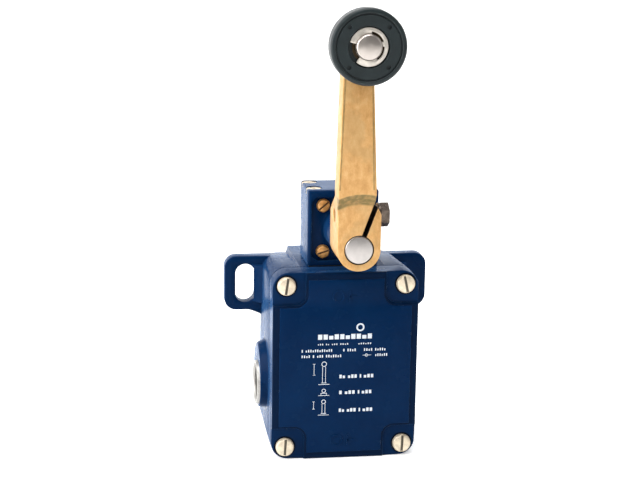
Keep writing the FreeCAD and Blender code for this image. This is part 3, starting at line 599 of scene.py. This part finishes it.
view = {"target": (-0.01189, -0.050, 0.06098), "azimuth": 8.82, "elevation": 12.95, "roll": 0.93,
        "distance": 0.7955, "lens": 92.93}
az, el = math.radians(view["azimuth"]), math.radians(view["elevation"])
backward = Vector((-math.sin(az) * math.cos(el), -math.cos(az) * math.cos(el), math.sin(el)))
cameraData = bpy.data.cameras.new("camera")
cameraData.lens = view["lens"]
cameraData.sensor_width = 36
cameraData.clip_start = 0.02
cameraData.clip_end = 20
camera = bpy.data.objects.new("camera", cameraData)
bpy.context.collection.objects.link(camera)
camera.location = Vector(view["target"]) + backward * view["distance"]
look = (-backward).to_track_quat("-Z", "Y").to_matrix()
camera.rotation_euler = (look @ Matrix.Rotation(math.radians(view["roll"]), 3, "Z")).to_euler()
bpy.context.scene.camera = camera

lightAim = (0, -0.05, 0.05)


def addLight(name, place, size, power):
    data = bpy.data.lights.new(name, "AREA")
    data.shape = "RECTANGLE"
    data.size, data.size_y = size
    data.energy = power
    light = bpy.data.objects.new(name, data)
    bpy.context.collection.objects.link(light)
    light.location = place
    light.rotation_euler = (Vector(lightAim) - Vector(place)).to_track_quat("-Z", "Y").to_euler()


addLight("keyLight", (-0.55, -1.25, 1.05), (0.6, 0.6), 7)
addLight("leftLight", (-1.25, -0.25, 0.50), (0.9, 1.3), 24)
addLight("rightLight", (1.15, -0.10, 0.55), (0.7, 1.0), 4)
addLight("topLight", (-0.15, -0.20, 1.35), (1.0, 0.8), 15)

# white paper all round, but a dark studio behind the camera
world = bpy.context.scene.world or bpy.data.worlds.new("world")
bpy.context.scene.world = world
world.use_nodes = True
worldTree = world.node_tree
worldCoords = worldTree.nodes.new("ShaderNodeTexCoord")
depth = axesOf(worldTree, worldCoords.outputs["Generated"])["Y"]
worldShade = ramp(worldTree, mathNode(worldTree, "MULTIPLY_ADD", depth, 0.5),
                  [(0.10, (0.34, 0.34, 0.34)), (0.45, (1, 1, 1))])
worldTree.links.new(worldShade, worldTree.nodes["Background"].inputs["Color"])
worldTree.nodes["Background"].inputs["Strength"].default_value = 0.62

floorLook = {"width": 6.0, "front": -2.6, "turnUp": 1.1, "height": 2.6, "radius": 0.5, "glow": 0.30}
floorZ = cadBox[0].z
clearSelection()
bpy.ops.mesh.primitive_plane_add(
    size=1, location=(0, (floorLook["front"] + floorLook["turnUp"]) / 2, floorZ))
floor = bpy.context.object
floor.scale = (floorLook["width"], floorLook["turnUp"] - floorLook["front"], 1)
settle(floor, "floor")
floorBack = floorLook["turnUp"] / mm


def onTurnUp(p):
    return abs(p.y - floorBack) < 1 and abs(p.z - floorZ / mm) < 1


editEdges(floor, lambda a, b: a.y > floorBack - 10 and b.y > floorBack - 10)
bpy.ops.mesh.extrude_region_move(TRANSFORM_OT_translate={"value": (0, 0, floorLook["height"])})
leaveEdit()
bevelEdges(floor, lambda a, b: onTurnUp(a) and onTurnUp(b), floorLook["radius"] / mm, 16)
pick(floor)
bpy.ops.object.shade_smooth_by_angle(angle=math.radians(60))
floorMaterial, _, floorShader = newMaterial("floorPaper", (0.93, 0.93, 0.93), 0, 0.9, 0.1)
floorShader.inputs["Emission Color"].default_value = (1, 1, 1, 1)
floorShader.inputs["Emission Strength"].default_value = floorLook["glow"]
floor.data.materials.append(floorMaterial)
bpy.context.scene.view_settings.view_transform = "Standard"
print("camera, light and floor set")

# sizes that several pieces share
headScrewX, headScrewYs = 13.6, (-38.8, -23.6)
rodY, guideR = -31.5, 7.6
armFront, armBack = -96.2, -85.6
boltY = -79.75

# enclosure: housing

box = {"w": 35.6, "h": 46.9, "seam": -46, "corner": 8, "draft": 0.8, "backTop": 43.6, "wall": 4.0}
w, h, seam, wall, draft = (box[k] for k in ("w", "h", "seam", "wall", "draft"))
housing = roundBlock("housingCasting", (-w, w), (seam, 0), (-h, h), box["corner"])
pick(housing)
bpy.ops.object.mode_set(mode="EDIT")
bpy.ops.mesh.select_all(action="DESELECT")
leaveEdit()
# the back is drawn in a little, and lower at the top
for vertex in housing.data.vertices:
    vertex.select = vertex.co.y > -1 * mm
bpy.context.tool_settings.mesh_select_mode = (True, False, False)
bpy.ops.object.mode_set(mode="EDIT")
backHeight = box["backTop"] + h - draft
bpy.ops.transform.resize(value=((w - draft) / w, 1, backHeight / (2 * h)), center_override=(0, 0, 0))
bpy.ops.transform.translate(value=(0, 0, (box["backTop"] - h + draft) / 2 * mm))
leaveEdit()
bevelLevel(housing, "Y", 0, 1.2, 4)

ears = {"xs": (-53.8, 50.2), "zs": (15.2, 43.2), "t": 7, "corner": 6, "hole": (42.3, 24.2), "holeR": 4.5,
        "web": 4.5, "webUp": 7, "foot": 7, "footDown": 3.2, "margin": 4.5}
slot = {"x": -43.3, "z": 29.2, "r": 5, "up": 5}
earLow, earHigh = ears["zs"]
ear = roundBlock("ears", ears["xs"], (-ears["t"], 0), ears["zs"], ears["corner"])
bevelLevel(ear, "Y", -ears["t"], 0.7, 3)
bevelLevel(ear, "Y", 0, 0.5, 3)
pad = addPrism("pad", [(-22.6, 41), (-21, h), (21, h), (22.6, 41)], "Y", (seam, -0.3))
addTo(housing, ear, pad)
root = w - 2.3
for side in (-1, 1):
    behind = [(side * root, -6), (side * (w + ears["web"]), -6.9),
              (side * root, -ears["t"] - ears["webUp"])]
    below = [(side * root, earLow + 1), (side * (w + ears["foot"]), earLow + 0.6),
             (side * root, earLow - ears["footDown"])]
    addTo(housing, addPrism("web", behind, "Z", (earLow + ears["margin"], earHigh - ears["margin"])),
          addPrism("web", below, "Y", (-ears["t"] + 0.3, -0.4)))

# the boss of the cable entry: a collar round the insert, joined to a wider hood
boss = {"face": -39.2, "start": -33.6, "neck": -38.5}
insertPlace = middleOf("cable_entry_insert")
hood = spin("hood", (-27.0, -11.3), [(0, boss["start"]), (17.5, boss["start"]), (14.9, boss["neck"]),
                                     (14.3, boss["face"]), (0, boss["face"])], "X")
around = spin("around", (insertPlace.y, insertPlace.z), [
    (0, boss["start"]), (12.9, boss["start"]), (12.4, boss["neck"]), (12.2, boss["face"]),
    (0, boss["face"])], "X")
addTo(hood, around)
cutWith(hood, addBlock("front", (-60, 0), (seam - 20, seam + 0.5), (-50, 50)))
addTo(housing, hood)

# the room inside, with posts for the cover screws, the head screws and the earth screw
cavity = roundBlock("cavity", (-w + wall + draft, w - wall - draft), (seam - 2, -wall),
                    (-h + wall + draft, box["backTop"] - wall), 4)
for x in (-screwX, screwX):
    for z in (-screwZ, screwZ):
        cutWith(cavity, addRod("post", (x, z), 6.4, (seam - 3, 0), sides=48))
for x in (-headScrewX, headScrewX):
    for y in headScrewYs:
        cutWith(cavity, addRod("post", (x, y), 4.2, (30, 60), "Z", 40))
cutWith(cavity, addRod("earth", (14, -37), 4.6, (-10, 2), sides=40))
slotReach = slot["r"] + slot["up"]
cutWith(housing, cavity,
        roundBlock("slot", (slot["x"] - slot["r"], slot["x"] + slot["r"]), (-8, 1),
                   (slot["z"] - slotReach, slot["z"] + slotReach), slot["r"] - 0.01, segments=16),
        addRod("hole", ears["hole"], ears["holeR"], (-8, 1), sides=64),
        addRod("entry", (insertPlace.y, insertPlace.z), 11, (-45, -w + wall + 2), "X"),
        addRod("guideWay", (0, rodY), guideR, (box["backTop"] - wall - 1, h + 1), "Z", 64))
mergeFlat(housing)
softenEdges(housing, 0.3, 3, 40)
finishPiece(housing, enamel, "switch_body", ["housing"])
print("housing done")

# enclosure: cover

coverShape = {"corner": 8, "rim": 0.55, "edge": 3.4, "pocket": 2.0, "reach": 9.3, "pocketCorner": 5,
              "skin": 3.2, "wall": 3.0}
coverLowX, coverHighX = ends("cover", "X")
coverFront, coverBack = ends("cover", "Y")
coverLowZ, coverHighZ = ends("cover", "Z")
corners = [(x, z) for x in (-1, 1) for z in (-1, 1)]


def cornerCutters(grow, depth):
    cutters = []
    for sx, sz in corners:
        xs = sorted((sx * (screwX - coverShape["reach"] - grow), sx * (coverHighX + 12)))
        zs = sorted((sz * (screwZ - coverShape["reach"] - grow), sz * (coverHighZ + 12)))
        cutters.append(roundBlock("corner", xs, (coverFront - 2, coverFront + depth), zs,
                                  coverShape["pocketCorner"] + grow, segments=8))
    return cutters


def onOutline(a):
    return (abs(a.x) > coverHighX - 0.01 or abs(a.z) > coverHighZ - 0.01
            or abs(a.x) > coverHighX - coverShape["corner"] + 0.01
            and abs(a.z) > coverHighZ - coverShape["corner"] + 0.01)


rimY = coverFront + coverShape["rim"]
cover = roundBlock("coverCasting", (coverLowX, coverHighX), (rimY, coverBack),
                   (coverLowZ, coverHighZ), coverShape["corner"])
cutWith(cover, *cornerCutters(0, coverShape["pocket"]))
mergeFlat(cover)
bevelLevel(cover, "Y", rimY, 0.8, 4)
bevelLevel(cover, "Y", coverFront + coverShape["pocket"], 0.8, 4,
           lambda a, b: onOutline(a) and onOutline(b))
edge = coverShape["edge"]
panel = roundBlock("panel", (coverLowX + edge, coverHighX - edge), (coverFront, coverFront + 2.4),
                   (coverLowZ + edge, coverHighZ - edge), coverShape["corner"] - edge)
cutWith(panel, *cornerCutters(1.3, 5))
mergeFlat(panel)
bevelLevel(panel, "Y", coverFront, 0.42, 3)
addTo(cover, panel)
inside = coverShape["wall"]
cutWith(cover, addBlock("hollow", (-18.5, 18.5), (coverFront + coverShape["skin"], coverBack + 1),
                        (coverLowZ + inside, coverHighZ - inside)),
        addBlock("hollow", (coverLowX + inside, coverHighX - inside),
                 (coverFront + coverShape["skin"], coverBack + 1), (-30, 30)))
finishPiece(cover, enamel, "switch_body", ["cover"])

# cast marks, kept plain: a ring beside a bent bar, high and low on the panel
marks = {"z": (35.2, -37.4), "ringX": -3.8, "barX": 1.4, "barLong": 4.2, "barWide": 0.8, "barUp": 3,
         "raised": 0.4, "sunk": 0.3}
markParts = []
y = (coverFront - marks["raised"], coverFront + marks["sunk"])
barX, barWide = marks["barX"], marks["barWide"]
for z in marks["z"]:
    markParts += [
        spin("mark", (marks["ringX"], z), [(2.3, y[0]), (3.0, y[0]), (3.1, y[1]), (2.2, y[1])],
             steps=40),
        roundBlock("mark", (barX, barX + marks["barLong"]), y, (z - barWide / 2, z + barWide / 2), 0.35,
                   segments=3),
        roundBlock("mark", (barX, barX + barWide), y, (z - marks["barUp"], z + marks["barUp"]), 0.35,
                   segments=3)]
finishPiece(joinAll("coverMarks", markParts), enamel, "switch_body")

# plain printed bars and small diagrams, thin enough to read as ink
inkDepth = (coverFront - 0.035, coverFront + 0.1)
inkParts = []


def inkBar(x1, x2, z1, z2):
    inkParts.append(addBlock("bar", (x1, x2), inkDepth, (z1, z2)))


def inkWords(x, z, widths, height, gap=0.9, letter=1.1, fill=0.5):
    # rows of small upright bars that read as lines of type at a distance
    for width in widths:
        count = max(1, round(width / letter))
        for i in range(count):
            start = x + i * width / count
            tall = height if (i * 7 + count) % 3 else height * 0.72
            inkBar(start, start + width / count * fill, z - height / 2, z - height / 2 + tall)
        x += width + gap


def inkRing(x, z, radius, line=0.3):
    inkParts.append(spin("ring", (x, z), [(radius - line, inkDepth[0]), (radius, inkDepth[0]),
                                          (radius, inkDepth[1]), (radius - line, inkDepth[1])],
                         steps=32))


inkRing(7.0, 19.7, 2.0, 0.75)
inkWords(-13.6, 15.2, (27.0,), 2.5, 0.5, 2.7, 0.76)
for x, z, widths, height in (
        (-13.6, 11.5, (3.0, 2.0, 3.2, 4.4), 0.75), (6.2, 11.5, (6.8,), 0.75),
        (-21.5, 8.4, (1.1, 13.4), 1.3), (-1.2, 8.4, (1.2, 4.6), 1.3), (9.0, 8.4, (4.6, 5.6), 1.3),
        (-21.5, 5.6, (4.6, 1.2, 3.4, 8.0), 1.3), (14.6, 5.6, (6.4,), 1.3)):
    inkWords(x, z, widths, height)
inkRing(10.2, 5.6, 0.75, 0.25)
inkBar(8.4, 12.6, 5.5, 5.7)
for z, widths in ((-4.9, (3.2, 4.8, 1.0, 5.2)), (-13.0, (1.8, 5.4, 1.0, 5.2)),
                  (-22.1, (3.0, 4.8, 1.0, 5.2))):
    inkWords(-2.8, z, widths, 1.75, 1.0, 1.55, 0.7)
# a long lever, a plain button and a short lever, each over a base line:
# the foot, the top and the size of the ring
diagramX = -10.4
leverDiagrams = ((-7.8, 0.3, 1.3), (-23.4, -18.6, 1.1))
buttonLow, buttonTop = -14.2, -12.4
thin = 0.25


def diagramBar(x1, x2, z1, z2):
    inkBar(diagramX + x1, diagramX + x2, z1, z2)


for low, top, ringSize in leverDiagrams:
    halfway = (low + top) / 2
    inkRing(diagramX, top + ringSize, ringSize)
    diagramBar(-0.85, -0.62, low, top)
    diagramBar(0.62, 0.85, low, top)
    diagramBar(-1.3, 1.3, low - thin, low)
    diagramBar(-2.7, 2.7, low - 1.0, low - 0.75)
    # the dimension line beside it
    diagramBar(-5.0, -4.8, halfway, top + ringSize)
    diagramBar(-5.5, -4.3, top + ringSize, top + ringSize + 0.2)
    diagramBar(-5.5, -4.3, halfway - 0.2, halfway)
inkRing(diagramX, buttonTop + 0.5, 1.0)
diagramBar(-1.5, 1.5, buttonLow + 0.9, buttonLow + 1.15)
diagramBar(-1.5, -1.25, buttonLow, buttonLow + 0.9)
diagramBar(1.25, 1.5, buttonLow, buttonLow + 0.9)
diagramBar(-2.7, 2.7, buttonLow - thin, buttonLow)
finishPiece(joinAll("coverPrint", inkParts), ink, "switch_body")
print("cover done")

# slotted screws


def slottedScrew(x, z, turn, size):
    front, seat, radius = size["front"], size["seat"], size["radius"]
    screw = spin("screw", (x, z), [
        (0, front), (radius * 0.72, front + 0.02), (radius - 0.6, front + 0.22),
        (radius - 0.25, front + 0.62), (radius - 0.12, front + 1.0), (radius, seat),
        (size["shank"], seat), (size["shank"], size["tip"]), (0, size["tip"])], steps=64)
    half = size["slotWidth"] / 2
    slotBlock = addBlock("slot", (x - half, x + half), (front - 1, front + size["slotDepth"]),
                         (z - radius - 1, z + radius + 1), turn=(0, turn, 0))
    return cutWith(screw, slotBlock)


screwFront, screwTip = ends("cover_screws", "Y")
coverScrewSize = {"front": screwFront, "seat": coverFront + coverShape["pocket"], "tip": screwTip,
                  "radius": 4.5, "shank": 2.5, "slotWidth": 1.25, "slotDepth": 1.3}
coverScrews = [slottedScrew(x, z, turn, coverScrewSize)
               for x, z, turn in ((-screwX, screwZ, 8), (screwX, screwZ, -12),
                                  (-screwX, -screwZ, 3), (screwX, -screwZ, 2))]
finishPiece(joinAll("coverScrews", coverScrews), zinc, "switch_body", ["cover_screws"])

plateFront = -43.6
plateScrewX, plateScrewUp = plateScrewPlace
plateScrewFront, plateScrewTip = ends("bearing_plate_screws", "Y")
plateScrewSize = {"front": plateScrewFront, "seat": plateFront, "tip": plateScrewTip,
                  "radius": 3.35, "shank": 1.6, "slotWidth": 0.9, "slotDepth": 0.9}
plateScrews = [slottedScrew(x, shaftZ + up, turn, plateScrewSize)
               for x, up, turn in ((-plateScrewX, plateScrewUp, 50), (plateScrewX, plateScrewUp, 15),
                                   (-plateScrewX, -plateScrewUp, 72), (plateScrewX, -plateScrewUp, 100))]
finishPiece(joinAll("plateScrews", plateScrews), brass, "switch_body",
            ["bearing_plate_screws"])
print("screws done")

# actuator head, bearing plate and cable insert

headShape = {"window": 15.5, "windowUp": 15.8, "windowCorner": 4, "floor": -41.2, "screwHole": 3.9,
             "sink": 3.0}
headXs, headYs, headZs = ends("head_block", "X"), ends("head_block", "Y"), ends("head_block", "Z")
head = roundBlock("headCasting", headXs, headYs, headZs, 1.6, "Z", 5)
bevelLevel(head, "Z", headZs[1], 1.0, 4)
window, windowUp, windowFloor = (headShape[k] for k in ("window", "windowUp", "floor"))
cutWith(head,
        roundBlock("window", (-window, window), (headYs[0] - 2, windowFloor),
                   (shaftZ - windowUp, shaftZ + windowUp), headShape["windowCorner"]),
        addRod("crankRoom", (0, shaftZ), 7.4, (windowFloor - 1, -34.6)),
        addBlock("forkRoom", (-7.4, 7.4), (-35.4, -27.0), (shaftZ - 8, shaftZ + 8)),
        addRod("springRoom", (0, rodY), 4.0, (shaftZ, 81.2), "Z", 64),
        addRod("guideRoom", (0, rodY), guideR, (headZs[0] - 1, shaftZ - 7), "Z", 64))
for x in (-headScrewX, headScrewX):
    for y in headScrewYs:
        cutWith(head, addRod("sink", (x, y), headShape["screwHole"],
                             (headZs[1] - headShape["sink"], headZs[1] + 2), "Z", 48))
# the frame round the window is cut into triangles, so nothing spans the opening
pick(head)
bpy.ops.object.mode_set(mode="EDIT")
bpy.ops.mesh.select_all(action="SELECT")
bpy.ops.mesh.remove_doubles(threshold=0.002 * mm)
bpy.ops.mesh.quads_convert_to_tris(quad_method="BEAUTY", ngon_method="BEAUTY")
leaveEdit()


def onWindow(p):
    return (abs(p.y - headYs[0]) < 0.01 and abs(p.x) < window + 0.05
            and abs(p.z - shaftZ) < windowUp + 0.05)


bevelEdges(head, lambda a, b: onWindow(a) and onWindow(b), 0.4, 4)
finishPiece(head, enamel, "switch_body", ["head_block"])

slack = 0.05
plate = roundBlock("bearingPlate", (-window + slack, window - slack), (plateFront, windowFloor),
                   (shaftZ - windowUp + slack, shaftZ + windowUp - slack),
                   headShape["windowCorner"] - slack)
bevelLevel(plate, "Y", plateFront, 0.35, 3)
noseFront = ends("bearing_plate", "Y")[0]
nose = spin("nose", (0, shaftZ), [
    (7.3, noseFront + 2.4), (8.4, noseFront + 2.4), (8.4, noseFront), (8.6, noseFront),
    (9.3, noseFront + 0.3), (9.6, noseFront + 1.0), (9.6, plateFront - 2.2), (9.9, plateFront - 1.1),
    (10.6, plateFront - 0.35), (11.8, plateFront + 0.05), (11.8, plateFront + 1.0),
    (7.4, plateFront + 1.0), (7.3, plateFront)])
bearingPlate = joinAll("bearingPlate", [plate, nose])
finishPiece(bearingPlate, enamel, "switch_body", ["bearing_plate"])

insertXs = ends("cable_entry_insert", "X")
mouth = insertXs[0]
thread = []
threadTurns, pitch = 5, 1.5
for i in range(threadTurns):
    start = mouth + 1.0 + i * pitch
    thread += [(9.25, start), (9.25, start + 0.2), (10.0, start + 0.75), (10.0, start + 0.9)]
insert = spin("cableInsert", (insertPlace.y, insertPlace.z), [
    (9.7, mouth + 0.15), (9.9, mouth), (10.5, mouth), (10.85, mouth + 0.2), (11, mouth + 0.6),
    (11, insertXs[1]), (9.25, insertXs[1])] + thread[::-1], "X")
finishPiece(insert, nickel, "switch_body", ["cable_entry_insert"])
print("head, plate and insert done")

# roller, its axle and clip

rollerFront, rollerBack = ends("roller", "Y")
rollerShape = {"radius": middleOf("roller").z - ends("roller", "Z")[0], "recess": 9.1, "depth": 3.2,
               "bore": 7.3, "groove": 14.7, "dimplesAt": 12.5}
rad, groove, recess, bore = (rollerShape[k] for k in ("radius", "groove", "recess", "bore"))
f, b = rollerFront, rollerBack
roller = spin("rollerWheel", (0, rollerZ), [
    (bore, f + rollerShape["depth"]), (recess, f + rollerShape["depth"]),
    (recess + 0.05, f + 0.75), (recess + 0.35, f + 0.4),
    (groove - 0.5, f + 0.4), (groove - 0.32, f + 0.55), (groove - 0.25, f + 1.0),
    (groove + 0.25, f + 1.0), (groove + 0.32, f + 0.2), (groove + 0.5, f + 0.05), (rad - 1.5, f),
    (rad - 0.75, f + 0.15), (rad - 0.25, f + 0.55), (rad - 0.02, f + 1.2), (rad, f + 1.6),
    (rad, b - 1.6), (rad - 0.02, b - 1.2), (rad - 0.25, b - 0.55), (rad - 0.75, b - 0.15),
    (rad - 1.5, b), (bore, b)], steps=128)
for i in range(4):
    angle = math.radians(45 + 90 * i)
    place = (rollerShape["dimplesAt"] * math.cos(angle),
             rollerZ + rollerShape["dimplesAt"] * math.sin(angle))
    cutWith(roller, addRod("dimple", place, 1.0, (f - 1, f + 1.3), sides=24))
finishPiece(roller, blackPlastic, "roller_wheel", ["roller"])

axleFront, axleBack = ends("roller_axle", "Y")
clipFront, clipBack = ends("axle_clip", "Y")
axle = spin("axlePin", (0, rollerZ), [
    (0, axleFront), (5.1, axleFront), (5.3, axleFront + 0.1), (5.85, axleFront + 0.75),
    (5.9, axleFront + 0.9), (5.9, clipFront - 0.05), (4.9, clipFront - 0.05), (4.9, clipBack + 0.05),
    (5.9, clipBack + 0.05), (5.9, armFront), (4.4, armFront), (4.4, armBack), (5.5, armBack),
    (5.4, axleBack - 0.3), (4.9, axleBack), (0, axleBack)])
finishPiece(axle, axleSteel, "lever_arm", ["roller_axle"])


def sector(name, radius, start, stop, depth):
    # a pie slice between two angles, counted from right and up
    steps = [math.radians(start + (stop - start) * i / 10) for i in range(11)]
    outline = [(0, rollerZ)] + [(radius * math.cos(a), rollerZ + radius * math.sin(a)) for a in steps]
    return addPrism(name, outline, "Y", depth)


clipCut = (clipFront - 1, clipBack + 1)
mouthTurns = (166, 229)
clip = addRod("axleClip", (0, rollerZ), 8.65, (clipFront, clipBack), sides=96)
cutWith(clip, addRod("bore", (0, rollerZ), 4.95, clipCut, sides=64))
for start, stop in ((20, 80), (-54, 2)):
    gap = addRod("gap", (0, rollerZ), 7.0, clipCut, sides=64)
    applyBoolean(gap, sector("slice", 9, start, stop, clipCut), "INTERSECT")
    cutWith(clip, gap)
cutWith(clip, sector("mouth", 40, *mouthTurns, clipCut))
mergeFlat(clip)


def atMouth(a):
    turn = math.degrees(math.atan2(a.z - rollerZ, a.x)) % 360
    return min(abs(turn - edgeTurn) for edgeTurn in mouthTurns) < 1


bevelEdges(clip, lambda a, b: atMouth(a) and atMouth(b) and abs(a.y - b.y) > 0.5, 1.3, 6)
softenEdges(clip, 0.12, 2, 40)
finishPiece(clip, clipSteel, "lever_arm", ["axle_clip"])
print("roller done")

# lever

leverShape = {"hub": 10.1, "hubFront": -91.0, "hubBack": -68.5, "footLeft": 11.0, "footRight": 6.7,
              "tipLeft": 9.6, "tipRight": 3.9, "eye": 9.8, "spot": 22.0, "slope": 5.2,
              "clampUp": 14.2, "saw": 2.1, "drop": 6.0}
hub, hubFront, hubBack, footRight = (
    leverShape[k] for k in ("hub", "hubFront", "hubBack", "footRight"))
clampZ = shaftZ + leverShape["clampUp"]
shoulder = shaftZ + leverShape["spot"]
backLow = shoulder - leverShape["drop"]
lever = addRod("leverCasting", (0, shaftZ), hub, (hubFront, hubBack), sides=128)
block = addPrism("block", [(-hub, shaftZ), (hub, shaftZ), (hub, clampZ + 2.2),
                           (footRight + 0.6, shoulder), (-hub, shoulder)], "Y", (hubFront, hubBack))
cutWith(block, addPrism("slope", [(hubBack + 2, backLow - 1.3), (armBack, shoulder + 5),
                                  (armBack, shoulder + 9), (hubBack + 2, shoulder + 9)], "X", (-15, 15)))
eyeLow = rollerZ - leverShape["eye"] / 2
arm = addPrism("arm", [(-hub, clampZ), (footRight, clampZ), (footRight, shoulder + 6),
                       (leverShape["tipRight"], eyeLow), (-leverShape["tipLeft"], eyeLow),
                       (-leverShape["footLeft"], shoulder + 6)], "Y", (armFront, armBack))
eye = addRod("eye", (0, rollerZ), leverShape["eye"], (armFront, armBack), sides=96)
web = addPrism("web", [(hubBack, clampZ), (hubBack, backLow), (armBack, shoulder + 5),
                       (armFront + 2, shoulder + 5), (armFront + 2, clampZ)], "X", (-hub, footRight))
addTo(lever, block, arm, eye, web)
spotCut = addRod("spot", (0, shaftZ), leverShape["spot"], (armFront - 1, hubFront), sides=160)
clearSelection()
bpy.ops.mesh.primitive_cone_add(vertices=160, radius1=leverShape["spot"] * mm,
                                radius2=(leverShape["spot"] + leverShape["slope"]) * mm,
                                depth=(hubFront - armFront) * mm, rotation=axisTurns["Y"],
                                location=Vector((0, (hubFront + armFront) / 2, shaftZ)) * mm)
rampCut = settle(bpy.context.object, "ramp")
cutWith(lever, spotCut, rampCut)
saw = addBlock("saw", (-leverShape["saw"] / 2, leverShape["saw"] / 2), (armFront - 2, hubBack + 2),
               (shaftZ, shaftZ + 25))
pick(saw)
bpy.ops.transform.rotate(value=math.radians(-sawTurn), orient_axis="Y", orient_type="GLOBAL",
                         center_override=Vector((0, 0, shaftZ)) * mm)
settle(saw, "saw")
cutWith(lever, saw, addRod("bore", (0, shaftZ), 6.52, (hubFront - 2, hubBack + 2), sides=96),
        addRod("boltHole", (boltY, clampZ), 3.05, (-hub - 3, hub + 3), "X", sides=48),
        addRod("axleHole", (0, rollerZ), 4.4, (armFront - 2, armBack + 2), sides=48))
mergeFlat(lever)
softenEdges(lever, 0.5, 3, 38)
finishPiece(lever, gold, "lever_arm", ["lever"])

shaftFront, shaftBack = ends("shaft", "Y")
shaft = spin("leverShaft", (0, shaftZ), [
    (0, shaftFront), (5.95, shaftFront), (6.2, shaftFront + 0.08), (6.5, shaftFront + 0.5),
    (6.5, hubBack), (5.9, hubBack + 0.3), (5.9, -43.2), (1.9, -43.2), (1.9, shaftBack),
    (0, shaftBack)])
finishPiece(shaft, shaftSteel, "lever_arm", ["shaft"])

boltFlats, boltHead, washerThick = 10, 4, 1.2
boltSeat = hub + washerThick
boltEnd = boltSeat + boltHead
bolt = addRod("clampBolt", (boltY, clampZ), boltFlats / math.sqrt(3), (boltSeat, boltEnd), "X",
              sides=6, turn=30)
bevelLevel(bolt, "X", boltEnd, 0.45, 2)
addTo(bolt, addRod("shank", (boltY, clampZ), 2.9, (-hub + 1, boltSeat + 1), "X", sides=48))
finishPiece(bolt, darkSteel, "lever_arm", ["clamp_bolt"])
washer = spin("clampWasher", (boltY, clampZ), [
    (3.2, hub), (5.5, hub), (5.6, hub + 0.1), (5.6, hub + 1.05), (5.45, boltSeat),
    (3.2, boltSeat)], "X", 64)
finishPiece(washer, darkSteel, "lever_arm", ["clamp_washer"])
print("lever done")

# finish

print("pieces done")
